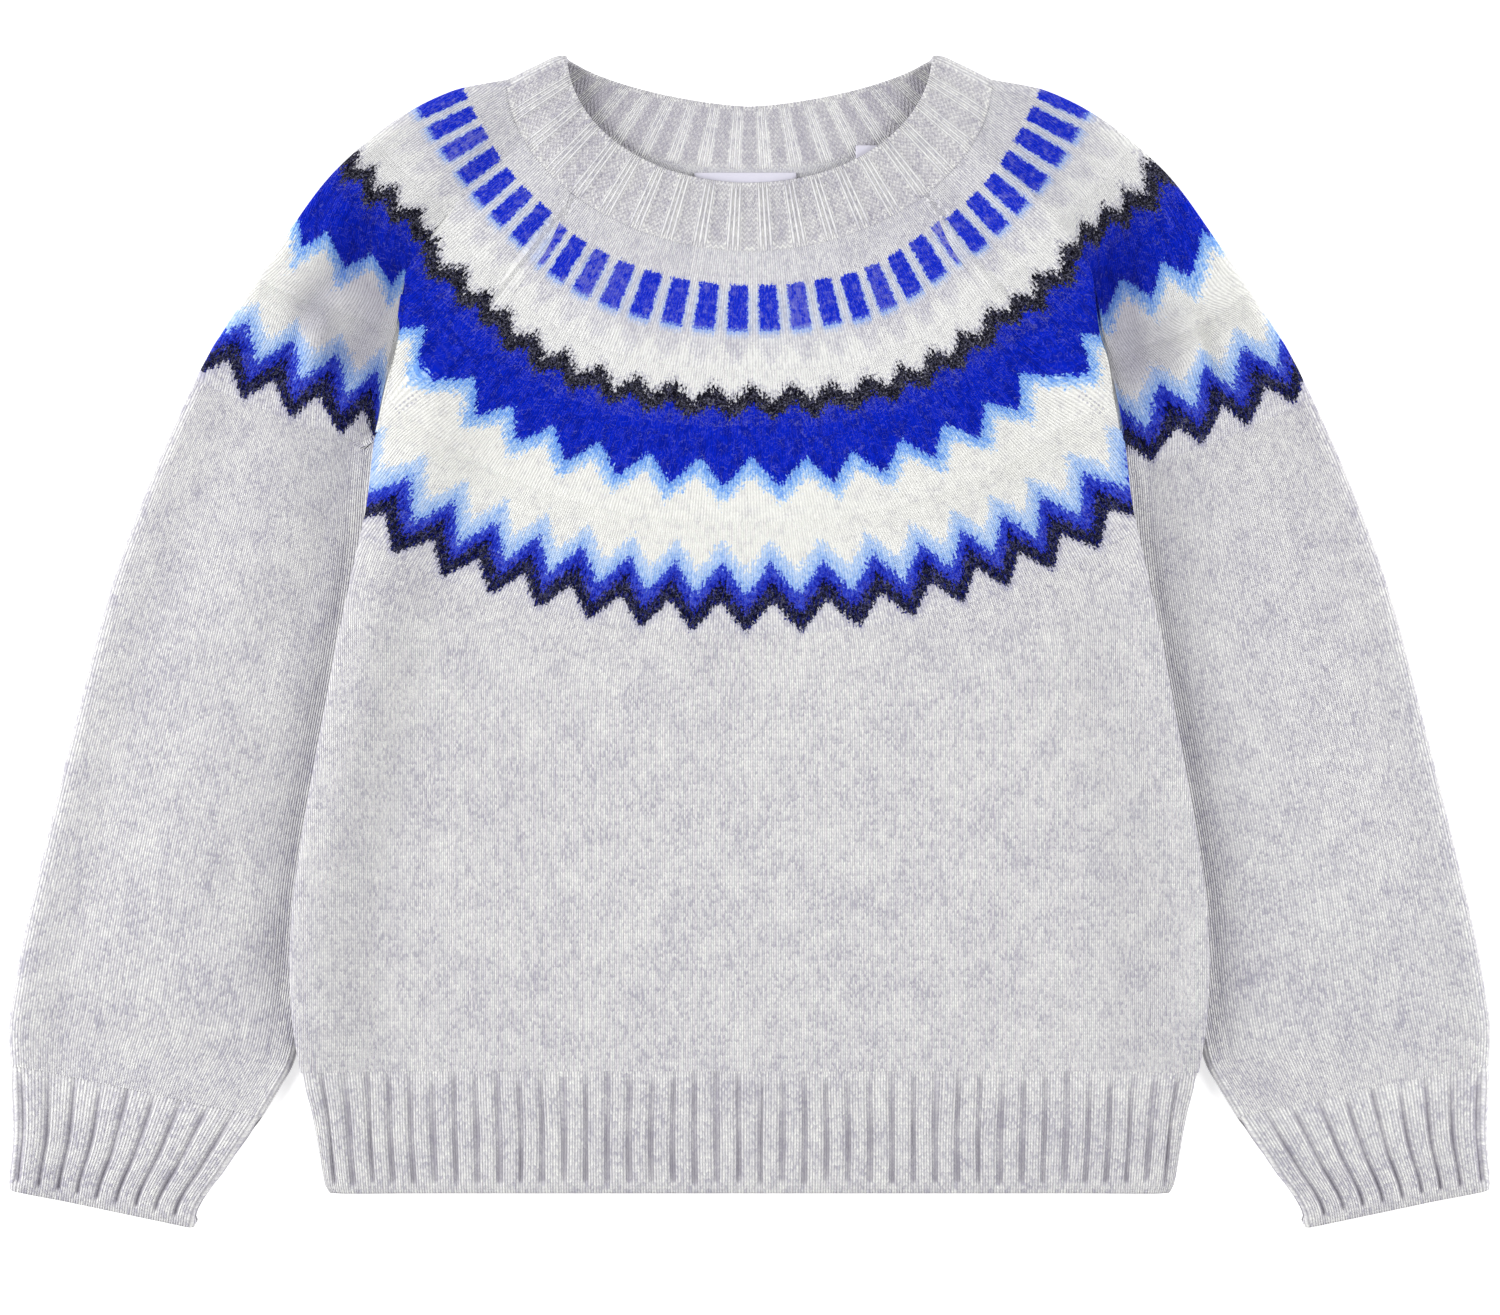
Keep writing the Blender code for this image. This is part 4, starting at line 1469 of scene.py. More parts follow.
@dataclass
class BodyTube:
    """The front and the back, each from the hem seam to the raglan and neck seams."""

    form: BodyForm = field(default_factory=BodyForm)
    flats: int = 96
    turns: int = 12
    tuck: float = 0.0008
    still_half: float = 0.10
    still_ease: float = 0.06
    swell: float = 0.00035
    swell_size: float = 0.055
    # painted shade along the body's rolled side edge, fading over edge_reach
    edge_shade: float = 0.22
    edge_reach: float = 0.0016
    rows: dict[Layer, int] = field(default_factory=lambda: {Layer.FRONT: 150, Layer.BACK: 84})
    cuts: dict[Layer, Cut] = field(
        default_factory=lambda: {
            Layer.FRONT: Cut(0.372, 0.352, 0.1130),
            Layer.BACK: Cut(0.372, 0.371, 0.1180),
        }
    )
    creases: dict[Layer, tuple[Crease, ...]] = field(
        default_factory=lambda: {
            Layer.FRONT: (
                Crease(-0.120, 0.010, -0.060, -0.120, 0.022, 0.0006),
                Crease(0.100, 0.030, 0.060, -0.090, 0.024, 0.0005),
                Crease(-0.020, -0.020, 0.010, -0.150, 0.026, -0.0005),
            ),
            Layer.BACK: (
                Crease(-0.090, 0.060, -0.040, -0.080, 0.022, 0.0005),
                Crease(0.110, 0.020, 0.050, -0.120, 0.022, 0.0005),
            ),
        }
    )

    def columns(self, layer: Layer) -> tuple[Points, Points]:
        """The columns of half a panel: shares of its flat width, then turns of its edge."""
        thin = 1 if layer is Layer.FRONT else 2
        flats = np.linspace(0, 1, self.flats // thin)
        angles = np.linspace(90, 2, self.turns // thin + 1)[1:]
        return np.concatenate([flats, np.ones(len(angles))]), np.concatenate(
            [np.full(len(flats), 90.0), angles]
        )

    def column_x(self, columns: tuple[Points, Points], y: Points) -> Points:
        """Where columns lie at heights up the body."""
        flats, angles = columns
        middle, radius = self.form.half(y), self.form.radius(y)
        return flats * (middle - radius) + radius * np.cos(np.radians(angles)) * (angles < 90)

    def tops(self, columns: tuple[Points, Points], layer: Layer) -> Points:
        """Heights at which the columns end, at the neck or at the raglan seam."""
        corner_x = getattr(RAGLAN[0], layer.value + "_x")
        corner_y = getattr(RAGLAN[0], layer.value + "_y")
        count = len(columns[0])
        tops = self.form.raglan_top(lambda y: self.column_x(columns, y), layer, count)
        x = self.column_x(columns, np.full(count, corner_y))
        neck = SEAM_LINES[layer]
        under_band = neck.at(neck.turn(np.minimum(x, corner_x)))[:, 1] + self.tuck
        return np.where(x < corner_x, under_band, tops)

    def half_grid(self, layer: Layer, foot: float, rows: int, tops: Points) -> Points:
        """Rows of points of half a panel, from its foot to its tops."""
        columns = self.columns(layer)
        share = np.linspace(0, 1, rows)[:, None]
        y = foot + (tops - foot) * share
        x = self.column_x(columns, y)
        return np.stack([x, y, self.form.height(x, y, layer)], -1)

    def fields(self, layer: Layer, x: Points, y: Points) -> dict[str, Points]:
        """The pattern's turn, ring and dashes, and the knit's wale, course and painted shade.

        Args:
            layer: the front or the back.
            x: the places' x.
            y: the places' y.

        Returns:
            The fields that the finish follows.
        """
        ring, turn = YOKE_MAP.polar(x, y)
        dashes = turn
        if layer is Layer.BACK:
            ring = ring + YOKE_MAP.back_shift(ring, turn)
        else:
            dashes = turn + read(FRONT_CHART, "turn", "dash_turn", turn)
            more_turn = charted(ring, turn, TURN_LEVELS)
            ring = ring + charted(ring, turn, RING_LEVELS)
            turn = turn + more_turn
        wale, course = YOKE_MAP.knit(x, y)
        inset = side("half_width", y) - WALL / 2 - np.abs(x)
        # painted shade at the rolled side edge
        rim = self.edge_shade * ease(inset / self.edge_reach)
        return {
            "ring": np.stack([turn, ring, dashes], -1),
            "knit": np.stack([wale, course, rim], -1),
        }

    def build(self, materials: dict[str, bpy.types.Material]) -> None:
        """Builds and dresses the front and the back.

        Args:
            materials: the finishes by slot.
        """
        for layer in Layer:
            tops = self.tops(self.columns(layer), layer)
            grid = mirrored(self.half_grid(layer, SEAM_Y, self.rows[layer], tops))
            x, y = grid[..., 0], grid[..., 1]
            soft = ease((np.abs(x) - self.still_half) / self.still_ease)
            seed = 3 if layer is Layer.FRONT else 8
            swell = ripples(x, y, seed, self.swell_size) * self.swell
            lift = (creased(x, y, self.creases[layer]) + swell) * soft
            if layer is Layer.BACK:
                lift = np.maximum(lift, 0)
            grid[..., 2] += lift
            sheet = ClothSheet(
                layer.value + "_panel",
                grid,
                WALL,
                np.zeros_like(x),
                self.fields(layer, x, y),
                flipped=layer is Layer.BACK,
            )
            place(sheet.build(), layer.value, materials["yoke_knit"])


def mirrored(half: Points) -> Points:
    """A whole panel's grid from its half on +X, whose first column is the middle."""
    other = half[:, :0:-1].copy()
    other[..., 0] *= -1
    return np.concatenate([other, half], 1)


class RibPoint(NamedTuple):
    """A point of a rib's profile: its share of the rib's width, and its share of the height."""

    share: float
    rise: float


def balanced(*half: RibPoint) -> tuple[RibPoint, ...]:
    """A whole profile, the same on both sides, from the half that goes up to its middle."""
    mirrored_half = [RibPoint(round(1 - point.share, 3), point.rise) for point in half[-2:0:-1]]
    return (*half, *mirrored_half)


RIB_PROFILE = balanced(
    RibPoint(0.00, 0.00),
    RibPoint(0.09, 0.05),
    RibPoint(0.14, 0.36),
    RibPoint(0.19, 0.74),
    RibPoint(0.25, 0.95),
    RibPoint(0.34, 1.04),
    RibPoint(0.50, 1.00),
)
CUFF_PROFILE = balanced(
    RibPoint(0.00, 0.00),
    RibPoint(0.06, 0.05),
    RibPoint(0.11, 0.40),
    RibPoint(0.16, 0.80),
    RibPoint(0.23, 0.97),
    RibPoint(0.36, 1.04),
    RibPoint(0.50, 1.00),
)


def rib_shares(profile: Sequence[RibPoint]) -> Points:
    """The shares of a rib's width at which its profile has points."""
    return np.array([point.share for point in profile])


def rib_rise(phase: Points, profile: Sequence[RibPoint]) -> Points:
    """The height of a rib at phases, from 0 in a groove to about 1 on the rib."""
    rises = [point.rise for point in profile]
    return np.interp(phase % 1.0, [*rib_shares(profile), 1.0], [*rises, rises[0]])


def groove_depth(phase: Points, run: Points, top: float, foot: float, seed: int) -> Points:
    """How deep the grooves between ribs are along their run, each ending at its own height.

    Args:
        phase: the places across, in ribs, with a groove at each whole number.
        run: the distances from the free edge.
        top: where the grooves fade out at the knit.
        foot: where they fade out at the free edge.
        seed: draws the grooves' own ends.

    Returns:
        Depths from 0 to about 1.
    """
    draw = np.random.default_rng(seed)
    own = draw.uniform(-1, 1, (400, 3))[np.round(phase).astype(int) + 100]
    upper = ease((run - (top + 0.0022 * own[..., 0] - 0.005)) / 0.006)
    lower = 1 - ease((run - foot - 0.0006 * own[..., 1] + 0.0012) / 0.0024)
    swell = 0.86 + 0.14 * np.sin(run * 230 + 6 * own[..., 2])
    return upper * lower * swell * (0.72 + 0.28 * ease(run / top))


@dataclass(frozen=True)
class Ribbing:
    """The ribs of a hem or a cuff: their profile, and how deep and how far the grooves go."""

    profile: tuple[RibPoint, ...]
    groove: float
    plain_edge: float
    seed: int
    wall: float = 0.0022
    foot_ease: float = 0.003
    head_ease: float = 0.008
    bulge: float = 0.0009

    def over(self, phase: Points, below: Points, height: float) -> tuple[Points, Points]:
        """The relief of ribs, and the values that their finish follows.

        Args:
            phase: the places across, in ribs, with a groove at each whole number.
            below: the distances from the free edge.
            height: the height of the ribbing.

        Returns:
            The relief and the values.
        """
        phase = phase + np.zeros_like(below)
        depth = groove_depth(phase, below, height, self.plain_edge, self.seed)
        # how far in a groove each place is: it sets the relief, and the painted shade of the grooves
        hollow = (1 - rib_rise(phase, self.profile)) * depth
        stand = 1 - ease(below / self.foot_ease)
        stand = stand * ease((below - height + self.head_ease) / self.head_ease)
        relief = RIB_STAND * stand - hollow * self.groove + (WALL - self.wall) / 2
        return relief, np.stack([phase, below * 1000, np.clip(hollow, 0, 1)], -1)


@dataclass
class HemRib:
    """The rib below the front or the back."""

    body: BodyTube
    ribs: int = 41
    rows: int = 34
    ribbing: Ribbing = Ribbing(RIB_PROFILE, 0.0014, 0.0034, 5)
    lean_near: float = 0.9
    lean_far: float = 4.5
    waver: float = 0.00035
    cut: Cut = Cut(0.372, 0.048, 0.0165)

    def half_grid(self, layer: Layer, phase: Points) -> Points:
        """Half a hem from its middle, with its ribs crowding towards the rolled edge.

        Args:
            layer: the front or the back.
            phase: the columns, in ribs from the middle.

        Returns:
            The points by row and column.
        """
        y = np.linspace(HEM_Y, SEAM_Y, self.rows)[:, None] + np.zeros(len(phase))
        half, radius = self.body.form.half(y), self.body.form.radius(y)
        length = (half - radius) + radius * math.pi / 2
        full = length[-1]
        inwards = self.ribs / 2 - phase
        lean = 0.5 * np.exp(-inwards / self.lean_near) + 0.5 * np.exp(-inwards / self.lean_far)
        lean[0] = 0.0
        run = phase / (self.ribs / 2) * full - (full - length) * lean
        run += ripples(np.round(phase) * 0.7, y, 31, 0.05) * self.waver * (phase > 0.4)
        run = np.minimum(run, length)
        angle = np.maximum(run - (half - radius), 0) / np.maximum(radius, 1e-6)
        turned = half - radius + radius * np.sin(angle)
        x = np.where(run < half - radius, run, np.minimum(turned, half - 1e-5))
        return np.stack([x, y, self.body.form.height(x, y, layer)], -1)

    def build(self, materials: dict[str, bpy.types.Material]) -> None:
        """Builds and dresses both hems."""
        count = int(self.ribs / 2) + 1
        phase = (np.arange(count)[:, None] + rib_shares(RIB_PROFILE)).ravel() - 0.5
        phase = np.concatenate([[0.0], phase[phase > 0.02]])
        phase = phase[phase <= self.ribs / 2]
        phases = np.concatenate([-phase[:0:-1], phase]) + 0.5
        for layer in Layer:
            grid = mirrored(self.half_grid(layer, phase))
            relief, values = self.ribbing.over(phases, grid[..., 1] - HEM_Y, SEAM_Y - HEM_Y)
            sheet = ClothSheet(
                layer.value + "_hem_rib",
                grid,
                self.ribbing.wall,
                relief,
                {"rib": values},
                flipped=layer is Layer.BACK,
                bulges=(self.ribbing.bulge, 0, 0, 0),
            )
            node = "hem_" + layer.value
            place(sheet.build(), node, materials["hem_rib"])


# ------------------------------------------------------------------ the sleeves and cuffs


SHOULDER_CREASES = (
    Crease(0.1470, 0.1670, 0.1780, 0.1290, 0.0070, 0.0030),
    Crease(0.1560, 0.1880, 0.2060, 0.1300, 0.0095, -0.0068),
    Crease(0.1540, 0.1420, 0.1600, 0.1080, 0.0070, 0.0024),
    Crease(0.1690, 0.1330, 0.1780, 0.1000, 0.0055, -0.0034),
    Crease(0.1780, 0.1270, 0.1900, 0.0900, 0.0055, 0.0024),
    Crease(0.1640, 0.0500, 0.1780, 0.0100, 0.0160, 0.0014),
)
# painted shade in the shoulders' folds: each depth is a share of the painted shade colour
SHOULDER_PAINTED_SHADES = {
    Hand.LEFT: (
        Crease(0.1500, 0.1680, 0.1500, 0.1420, 0.0095, 0.46),
        Crease(0.1480, 0.1400, 0.1570, 0.1020, 0.0125, 0.74),
        Crease(0.1660, 0.1320, 0.1700, 0.1080, 0.0070, 0.30),
    ),
    Hand.RIGHT: (
        Crease(0.1520, 0.1690, 0.1590, 0.1520, 0.0085, 0.50),
        Crease(0.1590, 0.1500, 0.1780, 0.1300, 0.0095, 0.62),
        Crease(0.1480, 0.1450, 0.1570, 0.1060, 0.0115, 0.66),
        Crease(0.1720, 0.1260, 0.1660, 0.1120, 0.0080, 0.46),
    ),
}


def outer_point(table: Sequence[NamedTuple], key: str, at: float) -> Points:
    """The point of the outer fold in a table, where one of its columns has a value."""
    return np.array([float(read(table, key, name, at)) for name in ("outer_x", "outer_y")])


def arm_folds(table: Sequence[ArmRow], share: float) -> tuple[Points, Points]:
    """The inner and the outer fold of an arm, a share of the way down its table."""
    y = table[0].inner_y + (table[-1].inner_y - table[0].inner_y) * share
    inner = np.array([float(read(table, "inner_y", "inner_x", y)), y])
    return inner, outer_point(table, "inner_y", y)


def fold_arc(tip: Points, across: Points, radius: float, angles: Points) -> Points:
    """Points round a fold of cloth.

    Args:
        tip: the plan point of the fold's outside.
        across: a plan point on the far side of the cloth.
        radius: the radius of the middle of the cloth.
        angles: degrees, from 90 on the upper layer to -90 on the lower one.

    Returns:
        The points.
    """
    angles = np.radians(angles)
    plan = along(tip, across, WALL / 2 + radius * (1 - np.cos(angles)))
    return np.column_stack([plan, LOW + radius * (1 + np.sin(angles))])


def returned(start: Points, radius: float) -> Points:
    """The lower half of a fold, back to the tip, from its upper half."""
    lower = start[::-1].copy()
    lower[:, 2] = 2 * (LOW + radius) - lower[:, 2]
    return lower


@dataclass
class Sleeve:
    """A raglan sleeve: over the yoke's fold, flat beside the body, and closed below the arm."""

    hand: Hand
    form: BodyForm = field(default_factory=BodyForm)
    flat_points: int = 22
    roll_points: int = 7
    foot_points: int = 5
    upper_points: int = 50
    fold_points: int = 11
    under_points: int = 34
    yoke_stations: int = 62
    arm_stations: int = 118
    sleeve_roll: float = 0.0084
    inner_roll: float = 2 * WALL + LAYER_GAP
    ease_in: float = 0.020
    inner_reach: float = 0.012
    step_foot: float = 0.0042
    neck_bow: float = 0.060
    tuck: float = 0.0014
    crown: float = 0.0050
    # painted shade of the upper layer: a little everywhere, more beside the body within shade_reach
    own_shade: float = 0.07
    body_shade: float = 0.28
    shade_reach: float = 0.022
    swell: float = 0.0004
    swell_size: float = 0.05
    still: int = 6
    still_beside: int = 12
    rising: int = 8
    outer_rising: int = 14
    cut: Cut = Cut(0.235, 0.420, 0.0810)

    @property
    def pleat_points(self) -> int:
        """Points from the seam over the fold to its foot."""
        return self.flat_points + self.roll_points + self.foot_points

    def pleat(self, front: Points, outer: Points) -> tuple[Points, float]:
        """The cloth from the raglan seam, over the yoke's fold and down to its foot.

        Args:
            front: the point of the raglan seam.
            outer: the point of the outer fold.

        Returns:
            The points, and how far from the seam the foot is.
        """
        length = float(np.linalg.norm(outer - front))
        low, high = 0.0, length
        for _ in range(30):
            middle = (low + high) / 2
            x, y = along(front, outer, middle)
            inside = x < side("half_width", y) - WALL / 2
            low, high = (middle, high) if inside else (low, middle)
        reach = low
        fold_y = along(front, outer, reach)[1]
        top = float(side("crest", fold_y)) - WALL / 2
        drop = top - UPPER
        foot = min(self.step_foot, drop / 2) + 1e-5
        radius = max(min(float(self.form.radius(fold_y)), drop - foot), 2e-5)
        flat_end = max(reach - radius, 0.0004)
        flat = along(front, outer, np.linspace(0, flat_end, self.flat_points))
        height = self.form.height(np.minimum(flat[:, 0], 9.0), flat[:, 1], Layer.FRONT)
        height = np.maximum(height, UPPER)
        line = [np.column_stack([flat, height])]
        start = math.degrees(math.acos(min(max(1 - (reach - flat_end) / radius, 0), 1)))
        angles = np.radians(np.linspace(start, 0, self.roll_points + 1)[1:])
        plan = along(front, outer, reach - radius * (1 - np.cos(angles)))
        rolled = self.form.height(plan[:, 0], plan[:, 1], Layer.FRONT)
        line.append(np.column_stack([plan, np.maximum(rolled, top - radius)]))
        angles = np.radians(np.linspace(0, 90, self.foot_points))
        plan = along(front, outer, reach + foot * (1 - np.cos(angles)) + 1e-5)
        line.append(np.column_stack([plan, UPPER + foot * (1 - np.sin(angles))]))
        return np.concatenate(line), reach + foot

    def outer_fold(self, inner: Points, outer: Points) -> tuple[Points, float]:
        """The outer fold from the upper layer to the lower one, and how wide it is."""
        radius = (self.sleeve_roll - WALL) / 2
        angles = np.linspace(90, -90, self.fold_points)
        return fold_arc(outer, inner, radius, angles), WALL / 2 + radius

    def upper(self, inner: Points, outer: Points, start: float, end: float, flat: float) -> Points:
        """The upper layer between two distances from an inner point."""
        run = np.linspace(start, end, self.upper_points)
        top = self.sleeve_roll - WALL / 2
        height = flat + (top - flat) * ease((end - run) / self.ease_in)
        return np.column_stack([along(inner, outer, run), height])

    def yoke_section(self, front: Points, outer: Points, back: Points) -> Points:
        """A section above the underarm, from the front raglan seam to the back one."""
        step, foot = self.pleat(front, outer)
        fold, inset = self.outer_fold(front, outer)
        end = float(np.linalg.norm(outer - front)) - inset
        upper = self.upper(front, outer, foot + 0.0004, end, UPPER)
        reach = float(np.linalg.norm(back - outer))
        run = np.linspace(inset, reach, self.under_points + 1)[1:]
        under = along(outer, back, run)
        under = np.column_stack([under, np.full(len(under), LOW)])
        return np.concatenate([step, upper[:-1], fold, under])

    def arm_section(self, inner: Points, outer: Points) -> Points:
        """A section below the underarm, from its seam round to its seam."""
        radius = (self.inner_roll - WALL) / 2
        flat = LOW + 2 * radius
        start = fold_arc(inner, outer, radius, np.linspace(4, 90, 9))
        reach = np.array([*along(inner, outer, self.inner_reach), flat])
        start = np.concatenate([start, reach[None]])
        fold, inset = self.outer_fold(inner, outer)
        end = float(np.linalg.norm(outer - inner)) - inset
        upper = self.upper(inner, outer, self.inner_reach + 0.0008, end, flat)
        start_again = laid(start, np.linspace(0, 1, self.pleat_points))
        under = np.concatenate([fold[-1:], returned(start, radius)])
        under = laid(under, np.linspace(0, 1, self.under_points + 1))[1:]
        return np.concatenate([start_again, upper[:-1], fold, under])

    def bowed(self, section: Points, weight: float) -> Points:
        """A section near the neck, bent from its straight chords to the neck seam's curve."""
        fold = self.pleat_points + self.upper_points - 1 + self.fold_points // 2
        front, outer, back = section[0, :2], section[fold, :2], section[-1, :2]
        moved = section.copy()
        for layer, span, end in (
            (Layer.FRONT, slice(0, fold + 1), front),
            (Layer.BACK, slice(fold + 1, None), back),
        ):
            share = np.linalg.norm(section[span, :2] - end, axis=1) / np.linalg.norm(outer - end)
            share = np.minimum(share, 1)[:, None]
            neck = SEAM_LINES[layer]
            begin = float(neck.turn(getattr(RAGLAN[0], layer.value + "_x")))
            on_curve = neck.at(begin + (90 - begin) * share[:, 0])
            chord = neck.at(begin) + (neck.at(90.0) - neck.at(begin)) * share
            moved[span, :2] += weight * (on_curve - chord)
        return moved

    def sections(self) -> tuple[Points, Points]:
        """All sections from the neck to the cuff, and each one's share of the yoke."""
        rows, kinds = [], []
        heights = np.linspace(RAGLAN[0].front_y, UNDERARM_Y + 0.0006, self.yoke_stations)
        for front_y in heights:
            share = (RAGLAN[0].front_y - front_y) / (RAGLAN[0].front_y - UNDERARM_Y)
            edge = float(side("half_width", front_y)) - WALL / 2 - 0.0003
            front_x = min(float(read(RAGLAN, "front_y", "front_x", front_y)), edge)
            front = np.array([front_x, front_y])
            back_y = RAGLAN[0].back_y + (UNDERARM_Y - RAGLAN[0].back_y) * share
            back = np.array([float(read(RAGLAN, "back_y", "back_x", back_y)), back_y])
            outer = outer_point(SHOULDER, "front_y", front_y)
            section = self.yoke_section(front, outer, back)
            weight = float(ease((RAGLAN[0].front_y - front_y) / self.neck_bow))
            rows.append(self.bowed(section, weight))
            kinds.append(1.0)
        step = rows[0] - rows[1]
        step *= self.tuck / np.linalg.norm(step, axis=1, keepdims=True)
        rows.insert(0, rows[0] + step)
        kinds.insert(0, 1.0)
        for share in np.linspace(0, 1, self.arm_stations) ** 0.9:
            rows.append(self.arm_section(*arm_folds(ARM, share)))
            kinds.append(0.0)
        return np.stack(rows), np.array(kinds)

    def counted(self, grid: Points, kinds: Points) -> dict[str, Points]:
        """The pattern's ring and turn, and the knit's wale, course and painted shade, over the sleeve.

        Args:
            grid: the sections on +X.
            kinds: 1 for the sections of the yoke.

        Returns:
            The fields that the finish follows.
        """
        sign = self.hand.value
        x, y = grid[..., 0] * sign, grid[..., 1]
        ring, turn = YOKE_MAP.polar(x, y)
        columns = grid.shape[1]
        fold = self.pleat_points + self.upper_points - 1 + self.fold_points // 2
        at = np.arange(columns)
        pleat = self.flat_points + self.roll_points
        walled = ease((grid[:, :1, 1] - FOLD_TOP_Y) / 0.004)
        past = (at >= pleat) * walled + (1 - ease(at / pleat)) * (1 - walled)
        home = ease((at - fold) / (columns - 1 - fold))
        weight = np.where(at <= fold, past, home) * np.ones_like(x)
        dashes = YOKE_MAP.sleeve_dashes(turn)
        low = ease((grid[:, :1, 1] - UNDERARM_Y - 0.0008) / 0.0012)
        low = np.where(kinds[:, None] < 0.5, 1.0, low)
        weight = np.where(at <= fold, np.maximum(weight, low), weight)
        more_ring, more_turn = SLEEVE_CHARTS[self.hand].shifts(x, y)
        back = (at > fold) * YOKE_MAP.back_shift(ring, turn)
        under = (1 - weight) * (at <= fold)
        front_ring = charted(ring, turn, RING_LEVELS) * under
        front_turn = charted(ring, turn, TURN_LEVELS) * under
        ring = ring + more_ring * weight + front_ring + back
        turn = turn + more_turn * weight * np.sign(turn) + front_turn
        run = distances(grid[-1]) / (YOKE_MAP.wale / 1000)
        course = distances(grid[:, fold - 8]) / (YOKE_MAP.course / 1000)
        blank = np.zeros_like(x)
        return {
            "ring": np.stack([turn, ring, dashes], -1),
            "knit": np.stack([run + blank, course[:, None] + blank, self.shade(grid, at)], -1),
        }

    def shade(self, grid: Points, at: Points) -> Points:
        """How much painted shade the upper layer gets beside the body and in its folds, from 0 to 1."""
        x, y = grid[..., 0], grid[..., 1]
        beyond = x - side("half_width", y)
        beside = self.body_shade * ease(beyond / self.shade_reach) * ease((y - FOLD_TOP_Y) / 0.02)
        folds = -creased(x, y, SHOULDER_PAINTED_SHADES[self.hand])
        past_pleat = at >= self.flat_points + self.roll_points
        upper = past_pleat & (at < self.pleat_points + self.upper_points - 1)
        return np.clip(self.own_shade + beside + folds, 0, 0.92) * upper

    def build(self, materials: dict[str, bpy.types.Material]) -> None:
        """Builds and dresses the sleeve."""
        grid, kinds = self.sections()
        fields = self.counted(grid, kinds)
        fold = self.pleat_points + self.upper_points - 1
        at = np.arange(grid.shape[1])
        start = np.where(kinds[:, None] > 0.5, self.pleat_points - self.still_beside, self.still)
        upper = (at < fold) * (1 - ease((at - start) / self.rising))
        swell = ripples(grid[..., 0], grid[..., 1], 20 + self.hand.value, self.swell_size)
        edge = ease((at - fold + self.outer_rising) / self.outer_rising)
        share = np.clip((at - self.pleat_points) / (fold - self.pleat_points), 0, 1)
        rows = np.arange(len(grid))[:, None] / len(grid)
        puff = self.crown * (1 - np.cos(2 * math.pi * share**0.85)) / 2 * ease((rows - 0.80) / 0.18)
        lift = creased(grid[..., 0], grid[..., 1], SHOULDER_CREASES) + swell * self.swell
        lift = lift * edge + puff * ease((0.12 - rows) / 0.12)
        floor = np.minimum(grid[..., 2], UPPER - 0.0004)
        grid[..., 2] = np.maximum(grid[..., 2] + lift * upper, floor)
        grid[..., 0] *= self.hand.value
        name = "sleeve_" + self.hand.name.lower()
        sheet = ClothSheet(
            name + "_panel",
            grid,
            WALL,
            np.zeros(grid.shape[:2]),
            fields,
            flipped=self.hand is Hand.LEFT,
        )
        place(sheet.build(), name, materials["yoke_knit"])


@dataclass
class CuffRib:
    """The rib at the end of a sleeve."""

    hand: Hand
    ribs: int = 19
    rows: int = 34
    ribbing: Ribbing = Ribbing(CUFF_PROFILE, 0.0018, 0.0030, 12)
    roll: float = 0.0080
    ease_in: float = 0.020
    flat_relief: float = 0.00015
    cut: Cut = Cut(0.200, 0.046, 0.0085)

    def section(self, inner: Points, outer: Points) -> Points:
        """A closed section of the cuff, starting at its inner fold."""
        inner_radius = (WALL + LAYER_GAP) / 2
        outer_radius = (self.roll - WALL) / 2
        flat = LOW + 2 * inner_radius
        start = fold_arc(inner, outer, inner_radius, np.linspace(0, 90, 7))
        end = float(np.linalg.norm(outer - inner)) - WALL / 2 - outer_radius
        run = np.linspace(WALL / 2 + inner_radius, end, 30)[1:-1]
        z = flat + (self.roll - WALL / 2 - flat) * ease((end - run) / self.ease_in)
        upper = np.column_stack([along(inner, outer, run), z])
        fold = fold_arc(outer, inner, outer_radius, np.linspace(90, -90, 13))
        return np.concatenate([start, upper, fold, returned(start, inner_radius)])

    def build(self, materials: dict[str, bpy.types.Material]) -> None:
        """Builds and dresses the cuff."""
        phase = (np.arange(self.ribs)[:, None] + rib_shares(CUFF_PROFILE)).ravel()
        shares = np.linspace(0, 1, self.rows)
        sections = [self.section(*arm_folds(CUFF, share)) for share in shares]
        grid = np.stack([laid(section, phase / self.ribs) for section in sections])
        height = self.cut.length
        below = (1 - shares[:, None]) * height + np.zeros(len(phase))
        relief, values = self.ribbing.over(phase, below, height)
        under = grid[..., 2] < LOW + 0.0004
        relief = np.where(under, np.minimum(relief, self.flat_relief), relief)
        grid[..., 0] *= self.hand.value
        name = "cuff_" + self.hand.name.lower()
        sheet = ClothSheet(
            name + "_rib",
            grid,
            self.ribbing.wall,
            relief,
            {"rib": values},
            flipped=self.hand is Hand.LEFT,
            closed=True,
            bulges=(0, 0, self.ribbing.bulge, 0),
        )
        place(sheet.build(), name, materials["cuff_rib"])


# ------------------------------------------------------------------ the neckband and labels


BAND_PROFILE = balanced(
    RibPoint(0.000, 0.06),
    RibPoint(0.120, 0.00),
    RibPoint(0.240, 0.10),
    RibPoint(0.272, 0.55),
    RibPoint(0.300, 0.96),
    RibPoint(0.345, 1.04),
    RibPoint(0.390, 0.96),
    RibPoint(0.422, 0.56),
    RibPoint(0.454, 0.96),
    RibPoint(0.500, 1.06),
)


